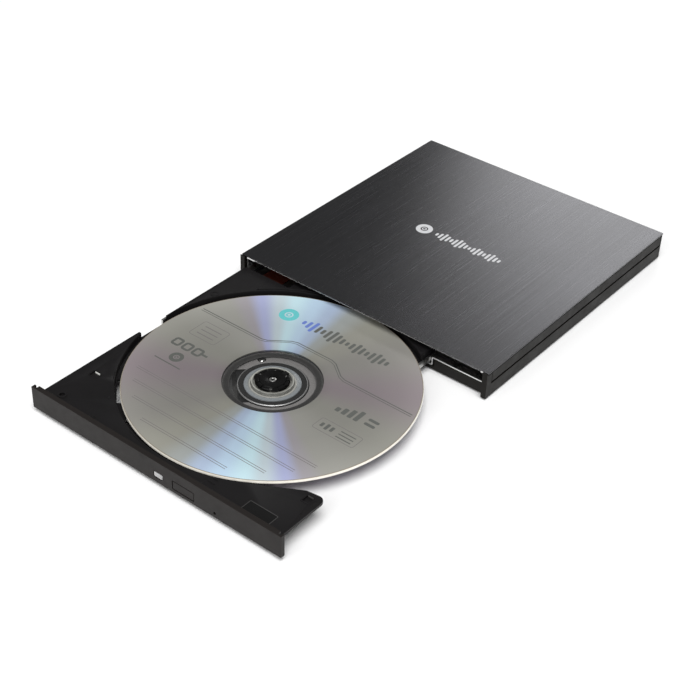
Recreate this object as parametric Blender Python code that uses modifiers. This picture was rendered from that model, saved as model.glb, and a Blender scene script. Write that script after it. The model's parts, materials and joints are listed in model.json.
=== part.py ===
"""Slim external optical drive, tray fully out, with a disc on the hub.

Lengths are in millimetres here and become metres where a mesh is made.
+X is right, -Y is the front, +Z is up, and the floor is z = 0. The origin is
the bottom centre of the whole object with the tray out.
Tray pieces use X and Y from the disc's centre. Pieces of the traverse use
u along the pickup's travel and v across it, from the same centre.
"""
import math

import bmesh
import bpy
from mathutils import Matrix, Vector

MM = 0.001
GAP = 0.3

# Casing
CASE_HALF = 66.0
CASE_FRONT = -9.95
CASE_REAR = 131.85
CASE_BOTTOM = 0.8
CASE_TOP = 13.0
PLATE_THICK = 0.55
PLATE_FRONT = CASE_FRONT + 0.75
FLOOR_TOP = 2.2
WALL = 1.6
GROOVE_LOW = 6.7
GROOVE_HIGH = 7.6
SHELL_TOP = CASE_TOP - PLATE_THICK - GAP
PILLAR_WIDTH = 2.4
MOUTH_Y = CASE_FRONT + 2.3
REAR_WALL_Y = 129.9
FOOT_RADIUS = 4.5
FOOT_PLACES = ((-55.0, 3.0), (55.0, 3.0), (-55.0, 118.0), (55.0, 118.0))
CASE_SCREW_X = 59.0
CASE_SCREW_Y = 124.6
CASE_SCREW_TOP = 10.0
CASE_SCREW_SHANK = 0.9
CASE_SCREW_HEAD = 1.9
CASE_SCREW_HOLE = 1.25
BOSS_TOP = 7.2
SOCKET_X = 38.0
SOCKET_HALF = 4.47
SOCKET_Y = (124.2, 131.6)
SOCKET_Z = (4.87, 8.13)
SOCKET_SHEET = 0.3
TONGUE_HALF = 3.3
TONGUE_Z = (6.15, 6.85)

# Sheet-metal drive body inside the casing
BODY_HALF = 64.0
BODY_REAR = 118.4
SHEET = 0.45
PAN_BOTTOM = 2.6
PAN_TOP = 11.35
COVER_BOTTOM = 11.65
COVER_TOP = 12.1
STEP_X = 37.5
SHELF_BOTTOM = 6.25
GUIDE_Y = (MOUTH_Y + 0.4, 32.0)
GUIDE_BOTTOM = 3.35

# Circuit boards inside the casing
MAIN_BOARD_Z = (3.35, 4.05)
BRIDGE_BOARD_Z = (3.5, 4.5)
CONNECTOR_X = (-33.0, -7.0)
CONNECTOR_TOP = 8.4
FLEX_X = (-57.2, -46.0)
FLEX_Z = (3.35, 3.55)

# Disc and its place
DISC_X = 0.8
DISC_Y = -64.4
DISC_RADIUS = 60.0
DISC_HOLE = 7.5
DISC_THICK = 1.2
DISC_BOTTOM = 7.5
DISC_TOP = DISC_BOTTOM + DISC_THICK

# Tray, from the disc's centre
TRAY_LEFT = -61.9
TRAY_RIGHT = 61.1
TRAY_FRONT = -66.1
TRAY_REAR = 61.5
TRAY_BOTTOM = 3.4
TRAY_TOP = 9.6
TRAY_WALL = 1.2
TRAY_BODY_RIGHT = 35.0
LOWER_REAR = 38.0
LOBE_BOTTOM = 8.4
WELL_RADIUS = 62.0
WELL_FLOOR = 6.4
ROOF = 5.6
HOLE_FLOOR = 8.9
BELOW_TRAY = 3.0
ABOVE_TRAY = 11.0
BEZEL_FRONT = -67.45
BEZEL_BACK = -66.45
BEZEL_LEFT = -64.8
BEZEL_RIGHT = 63.2
BEZEL_BOTTOM = 1.9
BEZEL_TOP = 11.85
BUTTON_X = (10.6, 21.6)
BUTTON_Z = (3.3, 7.5)
STEM_X = (15.0, 17.5)
STEM_Z = (4.9, 5.5)
LED_CENTRE = (3.5, 5.5)
LED_HALF = (2.1, 1.05)
PINHOLE = (31.7, 3.95)
PINHOLE_RADIUS = 0.6

# Rails beside the tray, which travel half as far as it does
RAIL_FRONT = -62.9
RAIL_REAR = 55.1
RAIL_BOTTOM = 4.6
RAIL_TOPS = (7.8, 6.9)
LEFT_RAIL_X = (-62.5, -61.45)
RIGHT_RAIL_X = (36.1, 37.15)

# Latch
LATCH_POST = (27.8, 3.3)
LATCH_PIVOT = (31.0, -58.0)
LEVER_Z = (4.2, 5.0)
LEVER_REACH = 9.3
LEVER_RADIUS = 1.8
LEVER_BORE = 0.9
PIN_RADIUS = 0.6

# Traverse: the pickup runs to the front left corner
TRAVEL_ANGLE = math.radians(225.0)
LENS_U = 24.0
MAIN_ROD_V = 13.2
SECOND_ROD_V = -15.0
ROD_RADIUS = 0.6
ROD_Z = 4.75
SCREW_V = 16.9
SCREW_Z = 5.2
SCREW_RADIUS = 0.75
TRAVERSE_BOTTOM = 4.05
FRAME_CUT = (3.9, 6.0)
ROD_ENDS = (11.0, 65.2)
MOTOR_U = (66.6, 71.5)
MOTOR_RADIUS = 1.8
DECK_BOTTOM = 6.25
DECK_TOP = 6.6
DECK_HOLE = 14.6
DECK_CUT = (6.0, 7.0)
OPENING_CUT = (5.0, 7.0)
SLED_ARM = 15.8
DECK_SCREWS = ((3.3, -16.9), (-18.0, 14.0), (-18.0, -14.0))

# Spindle, from the disc's centre
TABLE_TOP = 7.2
TABLE_BOTTOM = 6.8
TABLE_RADIUS = 11.5
RING_RADII = (11.8, 13.65)
HUB_TOP = 9.6
HUB_RADIUS = 7.15
HUB_BORE = 1.8
CLAW_ANGLES = (80.0, 200.0, 320.0)
CLAW_REACH = (4.3, 8.1)
CLAW_HALF = 1.15
CLAW_Z = (9.0, 9.45)

ROUND = 48
WIDE_ROUND = 96

FINISHES = {
    "black_aluminium": ((0.040, 0.040, 0.043), 0.35, 1.0),
    "side_plastic": ((0.045, 0.044, 0.040), 0.45, 0.0),
    "bezel_plastic": ((0.060, 0.052, 0.049), 0.50, 0.0),
    "tray_plastic": ((0.016, 0.015, 0.016), 0.55, 0.0),
    "steel": ((0.60, 0.60, 0.60), 0.35, 1.0),
    "deck_metal": ((0.22, 0.21, 0.21), 0.50, 0.8),
    "rubber": ((0.020, 0.020, 0.020), 0.85, 0.0),
    "board": ((0.015, 0.11, 0.04), 0.45, 0.0),
    "chip": ((0.020, 0.020, 0.022), 0.40, 0.0),
    "connector": ((0.030, 0.030, 0.030), 0.50, 0.0),
    "flex": ((0.20, 0.030, 0.015), 0.40, 0.0),
    "copper": ((0.70, 0.28, 0.12), 0.40, 1.0),
    "lamp_lens": ((0.80, 0.82, 0.85), 0.30, 0.0),
    "disc_face": ((0.42, 0.42, 0.40), 0.30, 0.6),
    "pickup_metal": ((0.45, 0.45, 0.46), 0.45, 0.9),
    "lens_glass": ((0.20, 0.35, 0.60), 0.05, 0.0),
}


# ---- scene helpers -------------------------------------------------------

def clear_scene():
    for old in list(bpy.data.objects):
        bpy.data.objects.remove(old, do_unlink=True)


def new_collection(name):
    collection = bpy.data.collections.new(name)
    bpy.context.scene.collection.children.link(collection)
    return collection


def make_finish(name):
    colour, roughness, metallic = FINISHES[name]
    finish = bpy.data.materials.new(name)
    finish.use_nodes = True
    shader = finish.node_tree.nodes["Principled BSDF"]
    shader.inputs["Base Color"].default_value = (*colour, 1.0)
    shader.inputs["Roughness"].default_value = roughness
    shader.inputs["Metallic"].default_value = metallic
    return finish


clear_scene()
PARTS = new_collection("optical_drive")
CUTTERS = new_collection("cutters")
FINISH = {name: make_finish(name) for name in FINISHES}


def new_frame(name, x, y, angle=0.0):
    """An empty whose local axes the pieces of one assembly are drawn in."""
    frame = bpy.data.objects.new(name, None)
    frame.location = (x * MM, y * MM, 0.0)
    frame.rotation_euler = (0.0, 0.0, angle)
    PARTS.objects.link(frame)
    return frame


TRAY = new_frame("tray_frame", DISC_X, DISC_Y)
SPINDLE = new_frame("spindle_frame", DISC_X, DISC_Y)
TRAVERSE = new_frame("traverse_frame_axes", DISC_X, DISC_Y, TRAVEL_ANGLE)


# ---- solids --------------------------------------------------------------

def solid(name, mesh, frame, finish):
    """A piece of the object, or with no finish a hidden tool that shapes one."""
    shape = bpy.data.objects.new(name, mesh)
    shape.parent = frame
    if finish:
        mesh.materials.append(FINISH[finish])
        PARTS.objects.link(shape)
    else:
        CUTTERS.objects.link(shape)
        shape.hide_render = True
        shape.display_type = 'WIRE'
    return shape


def mesh_of(bm, name):
    mesh = bpy.data.meshes.new(name)
    bm.to_mesh(mesh)
    bm.free()
    return mesh


def box(name, xs, ys, zs, frame=None, finish=None):
    bm = bmesh.new()
    size = [(span[1] - span[0]) * MM for span in (xs, ys, zs)]
    middle = [(span[1] + span[0]) * MM / 2 for span in (xs, ys, zs)]
    bmesh.ops.create_cube(bm, size=1.0)
    bmesh.ops.scale(bm, vec=size, verts=bm.verts)
    bmesh.ops.translate(bm, vec=middle, verts=bm.verts)
    return solid(name, mesh_of(bm, name), frame, finish)


def rod(name, radius, start, end, frame=None, finish=None, sides=ROUND):
    """A cylinder between two points."""
    first, last = Vector(start) * MM, Vector(end) * MM
    span = last - first
    turn = span.to_track_quat('Z', 'Y').to_matrix().to_4x4()
    bm = bmesh.new()
    bmesh.ops.create_cone(bm, cap_ends=True, segments=sides, radius1=radius * MM,
                          radius2=radius * MM, depth=span.length,
                          matrix=Matrix.Translation((first + last) / 2) @ turn)
    mesh = mesh_of(bm, name)
    mesh.shade_smooth()
    mesh.set_sharp_from_angle(angle=math.radians(40))
    return solid(name, mesh, frame, finish)


def upright(name, radius, centre, zs, frame=None, finish=None, sides=ROUND):
    """A cylinder that stands along Z."""
    return rod(name, radius, (*centre, zs[0]), (*centre, zs[1]), frame, finish, sides)


def rounded(corners, radii, steps=5):
    """The outline with each corner replaced by an arc; a radius of 0 keeps it sharp."""
    points = []
    for index, corner in enumerate(corners):
        corner = Vector(corner)
        radius = radii[index]
        if not radius:
            points.append(corner)
            continue
        back = (Vector(corners[index - 1]) - corner).normalized()
        ahead = (Vector(corners[(index + 1) % len(corners)]) - corner).normalized()
        half = back.angle(ahead) / 2
        centre = corner + (back + ahead).normalized() * radius / math.sin(half)
        first = corner + back * radius / math.tan(half) - centre
        last = corner + ahead * radius / math.tan(half) - centre
        turn = first.angle_signed(last)
        for step in range(steps + 1):
            angle = -turn * step / steps
            points.append(centre + Matrix.Rotation(angle, 2) @ first)
    return points


def rectangle(xs, ys, radius=0.0, steps=5):
    corners = ((xs[0], ys[0]), (xs[1], ys[0]), (xs[1], ys[1]), (xs[0], ys[1]))
    return rounded(corners, [radius] * 4, steps)


def extruded(name, outline, zs, frame=None, finish=None, upright_xz=False):
    """A flat outline with thickness. With upright_xz the outline is X and Z, and zs is along Y."""
    curve = bpy.data.curves.new(name, 'CURVE')
    curve.dimensions = '2D'
    curve.fill_mode = 'BOTH'
    curve.extrude = (zs[1] - zs[0]) * MM / 2
    spline = curve.splines.new('POLY')
    spline.points.add(len(outline) - 1)
    for point, place in zip(spline.points, outline):
        point.co = (place[0] * MM, place[1] * MM, 0.0, 1.0)
    spline.use_cyclic_u = True
    sketch = bpy.data.objects.new(name + "_sketch", curve)
    CUTTERS.objects.link(sketch)
    graph = bpy.context.evaluated_depsgraph_get()
    mesh = bpy.data.meshes.new_from_object(sketch.evaluated_get(graph))
    bpy.data.objects.remove(sketch, do_unlink=True)
    bm = bmesh.new()
    bm.from_mesh(mesh)
    bpy.data.meshes.remove(mesh)
    bmesh.ops.remove_doubles(bm, verts=bm.verts, dist=1e-6)
    middle = (zs[0] + zs[1]) * MM / 2
    if upright_xz:
        stand = Matrix.Rotation(math.radians(90), 4, 'X')
        bmesh.ops.transform(bm, matrix=Matrix.Translation((0, middle, 0)) @ stand, verts=bm.verts)
    else:
        bmesh.ops.translate(bm, vec=(0, 0, middle), verts=bm.verts)
    bmesh.ops.recalc_face_normals(bm, faces=bm.faces)
    return solid(name, mesh_of(bm, name), frame, finish)


def turned(name, profile, frame, finish, closed=False, steps=ROUND, centre=(0.0, 0.0)):
    """A profile of (radius, z) points, run down the outer side, turned about Z."""
    bm = bmesh.new()
    corners = [bm.verts.new((radius * MM, 0.0, z * MM)) for radius, z in profile]
    for first, second in zip(corners, corners[1:]):
        bm.edges.new((first, second))
    if closed:
        bm.edges.new((corners[-1], corners[0]))
    shape = solid(name, mesh_of(bm, name), frame, finish)
    shape.location = (centre[0] * MM, centre[1] * MM, 0.0)
    turn = shape.modifiers.new("turn", 'SCREW')
    turn.steps = steps
    turn.render_steps = steps
    turn.use_merge_vertices = True
    turn.merge_threshold = 1e-6
    turn.use_smooth_shade = True
    return shape


def shape_with(target, tool, operation):
    change = target.modifiers.new(tool.name, 'BOOLEAN')
    change.operation = operation
    change.object = tool


def cut(target, *tools):
    for tool in tools:
        shape_with(target, tool, 'DIFFERENCE')


def join(target, *tools):
    for tool in tools:
        shape_with(target, tool, 'UNION')


# ---- casing --------------------------------------------------------------

def make_top_plate():
    outline = rectangle((-CASE_HALF, CASE_HALF), (PLATE_FRONT, CASE_REAR), 0.6, 3)
    extruded("top_plate", outline, (CASE_TOP - PLATE_THICK, CASE_TOP), None, "black_aluminium")


def make_lower_shell():
    corners = ((-CASE_HALF, MOUTH_Y), (CASE_HALF, MOUTH_Y), (CASE_HALF, CASE_REAR), (-CASE_HALF, CASE_REAR))
    floor = rounded(corners, (0, 0, 1.2, 1.2), 3)
    shell = extruded("lower_shell", floor, (CASE_BOTTOM, FLOOR_TOP), None, "side_plastic")
    rear = rounded(((-CASE_HALF, REAR_WALL_Y), (CASE_HALF, REAR_WALL_Y), *corners[2:]), (0, 0, 1.2, 1.2), 3)
    join(shell, extruded("rear_wall", rear, (CASE_BOTTOM, SHELL_TOP)))
    for side in (-1, 1):
        wall_x = sorted((side * CASE_HALF, side * (CASE_HALF - WALL)))
        pillar_x = sorted((side * CASE_HALF, side * (CASE_HALF - PILLAR_WIDTH)))
        join(shell, box("side_wall", wall_x, (MOUTH_Y, REAR_WALL_Y + 0.5), (CASE_BOTTOM, GROOVE_LOW)),
             box("pillar", pillar_x, (CASE_FRONT, MOUTH_Y - GAP), (CASE_BOTTOM, SHELL_TOP)),
             box("pillar_cap", pillar_x, (CASE_FRONT, PLATE_FRONT - GAP), (SHELL_TOP - 1, CASE_TOP)),
             box("pillar_return", wall_x, (CASE_FRONT + 1, MOUTH_Y + 1.2), (CASE_BOTTOM, SHELL_TOP)),
             upright("screw_boss", 2.4, (side * CASE_SCREW_X, CASE_SCREW_Y), (CASE_BOTTOM + 0.5, BOSS_TOP)))
    join(shell, box("wall_under_shelf", (38.6, CASE_HALF - 1), (MOUTH_Y, MOUTH_Y + 1.2),
                    (CASE_BOTTOM, SHELF_BOTTOM - GAP)))
    for place in FOOT_PLACES:
        cut(shell, upright("foot_recess", FOOT_RADIUS + GAP, place, (0.0, 1.3)))
    for side in (-1, 1):
        place = (side * CASE_SCREW_X, CASE_SCREW_Y)
        cut(shell, upright("screw_hole", CASE_SCREW_HOLE, place, (0.0, BOSS_TOP + 1)),
            upright("screw_head_recess", CASE_SCREW_HEAD + GAP, place, (0.0, 1.75)))
    cut(shell, extruded("socket_opening", rectangle((SOCKET_X - 4.8, SOCKET_X + 4.8), (4.55, 8.45), 1.9),
                        (REAR_WALL_Y - 1, CASE_REAR + 1), upright_xz=True))


def make_upper_shell():
    shell = box("upper_shell", (1 - CASE_HALF, CASE_HALF - 1), (122.0, REAR_WALL_Y - GAP),
                (8.7, SHELL_TOP), None, "side_plastic")
    for side in (-1, 1):
        band_x = sorted((side * CASE_HALF, side * (CASE_HALF - WALL)))
        skirt_x = sorted((side * (CASE_HALF - 0.7), side * (CASE_HALF - WALL)))
        run = (MOUTH_Y + 1.2 + GAP, REAR_WALL_Y - GAP)
        join(shell, box("band", band_x, run, (GROOVE_HIGH, SHELL_TOP)),
             box("skirt", skirt_x, run, (GROOVE_LOW + GAP, GROOVE_HIGH + 1)),
             upright("upper_boss", 2.2, (side * CASE_SCREW_X, CASE_SCREW_Y), (BOSS_TOP + GAP, 9.0)))
    for side in (-1, 1):
        cut(shell, upright("thread_hole", CASE_SCREW_HOLE, (side * CASE_SCREW_X, CASE_SCREW_Y),
                           (BOSS_TOP - 0.2, CASE_SCREW_TOP + 0.5)))


def make_feet():
    for index, place in enumerate(FOOT_PLACES):
        profile = ((0, 1.0), (FOOT_RADIUS, 1.0), (FOOT_RADIUS, 0.25), (FOOT_RADIUS - 0.3, 0.0), (0, 0.0))
        turned(f"rubber_foot_{index + 1}", profile, None, "rubber", centre=place, steps=24)


def make_case_screws():
    for name, side in (("left", -1), ("right", 1)):
        shank, head = CASE_SCREW_SHANK, CASE_SCREW_HEAD
        profile = ((0, CASE_SCREW_TOP), (shank, CASE_SCREW_TOP), (shank, 1.45),
                   (head, 1.45), (head, 0.95), (0, 0.95))
        turned(f"case_screw_{name}", profile, None, "steel", steps=16,
               centre=(side * CASE_SCREW_X, CASE_SCREW_Y))


# ---- sheet-metal drive body ----------------------------------------------

def pan_section(inset, top):
    """The pan's stepped cross-section in X and Z, inset by a distance."""
    left, right = inset - BODY_HALF, BODY_HALF - inset
    low, shelf = PAN_BOTTOM + inset, SHELF_BOTTOM + inset
    step = STEP_X + SHEET - inset
    corners = ((left, low), (step, low), (step, shelf), (right, shelf), (right, top), (left, top))
    return rounded(corners, (0.6, 0.5, 0.5, 0.5, 0, 0), 3)


def make_pan():
    pan = extruded("drive_pan", pan_section(0.0, PAN_TOP), (MOUTH_Y, BODY_REAR), None, "steel", True)
    cut(pan, extruded("pan_room", pan_section(SHEET, PAN_TOP + 1), (MOUTH_Y - 1, BODY_REAR - SHEET),
                      upright_xz=True),
        box("connector_opening", (-34.0, -6.0), (BODY_REAR - 1, BODY_REAR + 1), (3.6, 9.0)))


def make_drive_cover():
    outline = rectangle((-BODY_HALF, BODY_HALF), (MOUTH_Y, BODY_REAR), 1.0, 3)
    extruded("drive_top_cover", outline, (COVER_BOTTOM, COVER_TOP), None, "steel")


def make_guides_and_rails():
    web, lip, far = -63.25, -62.85, -61.45
    low, high = (GUIDE_BOTTOM, 4.2), (8.2, 9.0)
    section = ((web, low[0]), (far, low[0]), (far, low[1]), (lip, low[1]),
               (lip, high[0]), (far, high[0]), (far, high[1]), (web, high[1]))
    extruded("left_guide", section, GUIDE_Y, None, "connector", True)
    box("right_guide", RIGHT_RAIL_X, GUIDE_Y, (GUIDE_BOTTOM, RAIL_BOTTOM - 0.35), None, "connector")
    run = (RAIL_FRONT, RAIL_REAR)
    box("left_rail", LEFT_RAIL_X, run, (RAIL_BOTTOM, RAIL_TOPS[0]), None, "steel")
    box("right_rail", RIGHT_RAIL_X, run, (RAIL_BOTTOM, RAIL_TOPS[1]), None, "steel")


def make_boards():
    on_main, on_bridge = MAIN_BOARD_Z[1] + GAP, BRIDGE_BOARD_Z[1] + GAP
    box("main_board", (-58.0, 30.0), (95.5, 116.6), MAIN_BOARD_Z, None, "board")
    box("main_chip", (-14.0, 2.0), (98.5, 112.5), (on_main, 5.0), None, "chip")
    box("flex_socket", (FLEX_X[0] - GAP, FLEX_X[1] + GAP), (97.0, 99.5), (on_main, 5.0), None, "connector")
    box("flex_cable", FLEX_X, (-5.0, 95.2), FLEX_Z, None, "flex")
    box("drive_connector", CONNECTOR_X, (117.15, 121.4), (4.4, CONNECTOR_TOP), None, "connector")
    box("bridge_connector", CONNECTOR_X, (121.75, 126.0), (BRIDGE_BOARD_Z[1] + 0.35, CONNECTOR_TOP),
        None, "connector")
    box("bridge_board", (-40.0, 48.0), (121.75, 129.4), BRIDGE_BOARD_Z, None, "board")
    box("bridge_chip", (5.0, 12.0), (122.2, 128.2), (on_bridge, 5.7), None, "chip")
    upright("bridge_inductor", 2.2, (22.0, 124.3), (on_bridge, 7.0), None, "chip", 24)


def make_usb_socket():
    """An oval metal shell with a tongue inside, open to the rear."""
    front, rear = SOCKET_Y
    room_half = SOCKET_HALF - SOCKET_SHEET
    room_z = (SOCKET_Z[0] + SOCKET_SHEET, SOCKET_Z[1] - SOCKET_SHEET)
    outline = rectangle((SOCKET_X - SOCKET_HALF, SOCKET_X + SOCKET_HALF), SOCKET_Z, 1.6)
    shell = extruded("usb_socket", outline, SOCKET_Y, None, "steel", True)
    cut(shell, extruded("socket_room", rectangle((SOCKET_X - room_half, SOCKET_X + room_half), room_z, 1.3),
                        (front + 0.8, rear + 1), upright_xz=True))
    tongue_x = (SOCKET_X - TONGUE_HALF, SOCKET_X + TONGUE_HALF)
    join(shell, box("tongue", tongue_x, (front + 0.4, rear - 0.9), TONGUE_Z))


def make_latch_post():
    profile = ((0, 5.0), (1.0, 5.0), (1.2, 4.8), (1.2, 3.7), (2.0, 3.7), (2.0, 3.35), (0, 3.35))
    turned("latch_post", profile, None, "steel", centre=LATCH_POST, steps=24)


# ---- tray ----------------------------------------------------------------

def tray_outline():
    """The plate reaches the full width at the front and stops at the disc's right in the middle."""
    corners = ((TRAY_LEFT, TRAY_FRONT), (TRAY_RIGHT, TRAY_FRONT), (TRAY_RIGHT, -40.2), (52.7, -41.4),
               (TRAY_BODY_RIGHT, -51.8), (TRAY_BODY_RIGHT, TRAY_REAR), (-37.0, TRAY_REAR),
               (-37.0, 52.6), (TRAY_LEFT, 52.6))
    return rounded(corners, (0, 0, 2.6, 4.0, 0, 1.5, 1.0, 0, 1.5), 5)


def corner_pocket():
    """Room under the top plate at the front left corner, outside the well's wall."""
    pocket = box("corner_pocket", (TRAY_LEFT + TRAY_WALL, -20.0), (TRAY_FRONT + TRAY_WALL, -30.0),
                 (BELOW_TRAY, LOBE_BOTTOM), TRAY)
    cut(pocket, upright("well_wall", WELL_RADIUS + TRAY_WALL, (0, 0), (2.0, ABOVE_TRAY), TRAY,
                        sides=WIDE_ROUND))
    return pocket


def tray_holes():
    """Openings from the well down to the traverse, and blind holes in the top."""
    front = (TRAY_FRONT - 0.9, TRAY_FRONT + 1.9)
    blind = (HOLE_FLOOR, ABOVE_TRAY)
    lamp_x, lamp_z = LED_CENTRE
    return (box("traverse_opening", (-24.0, 57.5), (-20.0, 20.0), OPENING_CUT, TRAVERSE),
            box("lens_opening", (50.0, 61.2), (-7.4, 7.4), OPENING_CUT, TRAVERSE),
            box("screw_channel", (56.0, 67.0), (SCREW_V - 1.2, SCREW_V + 1.2), (BELOW_TRAY, 7.0), TRAVERSE),
            box("edge_notch", (-63.0, -60.0), (-12.4, 2.6), (WELL_FLOOR, ABOVE_TRAY), TRAY),
            box("post_channel", (24.0, 31.0), (30.0, 40.0), (BELOW_TRAY, 5.5), TRAY),
            box("flex_channel", (-58.5, -44.5), (30.0, 40.0), (BELOW_TRAY, 4.3), TRAY),
            box("button_window", (BUTTON_X[0], BUTTON_X[1]), front, (BELOW_TRAY, BUTTON_Z[1] + GAP), TRAY),
            box("lamp_window", (lamp_x - 2.7, lamp_x + 2.7), front, (BELOW_TRAY, lamp_z + 1.5), TRAY),
            box("pin_window", (30.9, 32.5), front, (BELOW_TRAY, 4.8), TRAY),
            box("hook_hole", (-56.2, -52.5), (-45.5, -42.7), blind, TRAY),
            box("lobe_hole", (54.6, 57.6), (-46.4, -43.0), blind, TRAY),
            upright("locating_hole", 1.1, (-54.3, -61.3), blind, TRAY, sides=20))


def make_tray_body():
    tray = extruded("tray_body", tray_outline(), (TRAY_BOTTOM, TRAY_TOP), TRAY, "tray_plastic")
    room_y = (TRAY_FRONT + TRAY_WALL, LOWER_REAR - TRAY_WALL)
    cut(tray, upright("well", WELL_RADIUS, (0, 0), (WELL_FLOOR, ABOVE_TRAY), TRAY, sides=WIDE_ROUND),
        box("under_lobe", (TRAY_BODY_RIGHT, 65.0), (-70.0, -30.0), (BELOW_TRAY, LOBE_BOTTOM), TRAY),
        box("under_rear", (-70.0, 70.0), (LOWER_REAR, 70.0), (BELOW_TRAY, 5.3), TRAY),
        box("tray_room", (TRAY_LEFT + TRAY_WALL, TRAY_BODY_RIGHT - TRAY_WALL), room_y,
            (BELOW_TRAY, ROOF), TRAY),
        corner_pocket(), *tray_holes())
    join(tray, upright("latch_pin", PIN_RADIUS, LATCH_PIVOT, (4.1, 5.9), TRAY, sides=20))


def make_bezel():
    height = (BEZEL_BOTTOM, BEZEL_TOP)
    bezel = box("front_bezel", (BEZEL_LEFT, BEZEL_RIGHT), (BEZEL_FRONT, BEZEL_BACK), height,
                TRAY, "bezel_plastic")
    for ends in ((BEZEL_LEFT, BEZEL_LEFT + 0.8), (BEZEL_RIGHT - 0.8, BEZEL_RIGHT)):
        join(bezel, box("end_lip", ends, (BEZEL_FRONT + 0.5, BEZEL_FRONT + 1.9), height, TRAY))
    flange_x = (BEZEL_LEFT + 2.1, BEZEL_RIGHT - 2.1)
    join(bezel, box("top_flange", flange_x, (BEZEL_FRONT + 0.5, BEZEL_FRONT + 2.3),
                    (BEZEL_TOP - 0.95, BEZEL_TOP), TRAY))
    lamp_x, lamp_z = LED_CENTRE
    through = (BEZEL_FRONT - 1, BEZEL_BACK + 1)
    half_x, half_z = LED_HALF[0] + GAP, LED_HALF[1] + GAP
    lamp = rectangle((lamp_x - half_x, lamp_x + half_x), (lamp_z - half_z, lamp_z + half_z), 0.6)
    cut(bezel, extruded("lamp_hole", lamp, through, TRAY, upright_xz=True),
        extruded("button_hole", rectangle(BUTTON_X, BUTTON_Z, 0.4), through, TRAY, upright_xz=True),
        rod("pinhole", PINHOLE_RADIUS, (PINHOLE[0], through[0], PINHOLE[1]),
            (PINHOLE[0], through[1], PINHOLE[1]), TRAY, sides=20))


def make_button():
    face_x = (BUTTON_X[0] + GAP, BUTTON_X[1] - GAP)
    face_z = (BUTTON_Z[0] + GAP, BUTTON_Z[1] - GAP)
    button = extruded("eject_button", rectangle(face_x, face_z, 0.3), (BEZEL_FRONT + 0.05, -66.0),
                      TRAY, "bezel_plastic", True)
    join(button, box("button_stem", STEM_X, (-66.5, -64.9), STEM_Z, TRAY))


def make_front_board():
    box("front_board", (-2.0, 18.9), (-64.4, -56.5), (4.05, 4.6), TRAY, "board")
    box("button_switch", (14.2, 18.3), (-63.9, -61.0), (4.9, 5.3), TRAY, "chip")
    lamp_x, lamp_z = LED_CENTRE
    half_x, half_z = LED_HALF
    outline = rectangle((lamp_x - half_x, lamp_x + half_x), (lamp_z - half_z, lamp_z + half_z), 0.35)
    extruded("led_lens", outline, (BEZEL_FRONT + 0.05, -64.7), TRAY, "lamp_lens", True)


def make_tray_bottom_cover():
    corners = ((22.0, 36.0), (-43.0, 36.0), (-43.0, -38.0), (-22.0, -59.0), (-22.0, -62.0), (22.0, -62.0))
    extruded("tray_bottom_cover", rounded(corners, [1.0] * 6, 3), (TRAY_BOTTOM, 3.75), TRAY, "steel")


def make_latch():
    """The lever's nose hooks behind the post when the tray is shut; a solenoid frees it."""
    x, y = LATCH_PIVOT
    nose_y = (y + LEVER_REACH - 1.6, y + LEVER_REACH)
    lever = upright("latch_lever", LEVER_RADIUS, LATCH_PIVOT, LEVER_Z, TRAY, "connector", 24)
    join(lever, box("lever_arm", (x - 1.1, x + 0.6), (y, nose_y[1]), LEVER_Z, TRAY),
         box("lever_nose", (x - 2.4, x - 0.5), nose_y, LEVER_Z, TRAY),
         box("lever_tail", (x - 0.6, x + 0.6), (y - 5.0, y), LEVER_Z, TRAY))
    cut(lever, upright("lever_bore", LEVER_BORE, LATCH_PIVOT, (4.0, 6.0), TRAY, sides=20))
    box("latch_solenoid", (19.3, 25.5), (-64.2, -59.8), (4.05, 5.3), TRAY, "copper")
    box("solenoid_plunger", (25.8, x - 1.0), (-62.5, -61.4), (4.4, 5.0), TRAY, "steel")


# ---- traverse ------------------------------------------------------------

def make_deck():
    deck = extruded("deck_cover", rectangle((-23.6, 57.1), (-19.6, 19.6), 1.5, 3), (DECK_BOTTOM, DECK_TOP),
                    TRAVERSE, "deck_metal")
    cut(deck, upright("hub_hole", DECK_HOLE, (0, 0), DECK_CUT, TRAVERSE),
        box("lens_slot", (0.0, 60.0), (-11.0, 10.6), DECK_CUT, TRAVERSE))
    for place in DECK_SCREWS:
        cut(deck, upright("deck_screw_hole", 1.8, place, DECK_CUT, TRAVERSE, sides=24))
    for index, place in enumerate(DECK_SCREWS):
        profile = ((0, 6.95), (1.2, 6.95), (1.5, 6.75), (1.5, 6.35), (0.6, 6.35), (0.6, 5.6), (0, 5.6))
        turned(f"deck_screw_{index + 1}", profile, TRAVERSE, "steel", steps=16, centre=place)


def make_traverse_frame():
    frame = extruded("traverse_frame", rectangle((-23.0, 66.0), (-18.9, 21.0), 1.5, 3),
                     (TRAVERSE_BOTTOM, ROOF - GAP), TRAVERSE, "connector")
    cut(frame, upright("spindle_hole", 13.1, (0, 0), FRAME_CUT, TRAVERSE),
        box("sled_window", (14.0, 64.6), (-17.3, 19.4), FRAME_CUT, TRAVERSE))
    near = (ROD_ENDS[0] - GAP, 14.5)
    for v in (MAIN_ROD_V, SECOND_ROD_V):
        seat_v = (v - ROD_RADIUS - 0.35, v + ROD_RADIUS + 0.35)
        cut(frame, box("rod_seat_near", near, seat_v, FRAME_CUT, TRAVERSE),
            box("rod_seat_far", (64.0, ROD_ENDS[1] + GAP), seat_v, FRAME_CUT, TRAVERSE))
    seat_v = (SCREW_V - SCREW_RADIUS - 0.35, SCREW_V + SCREW_RADIUS + 0.35)
    cut(frame, box("screw_seat_near", near, seat_v, FRAME_CUT, TRAVERSE),
        box("screw_seat_far", (64.0, 67.0), seat_v, FRAME_CUT, TRAVERSE))


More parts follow.
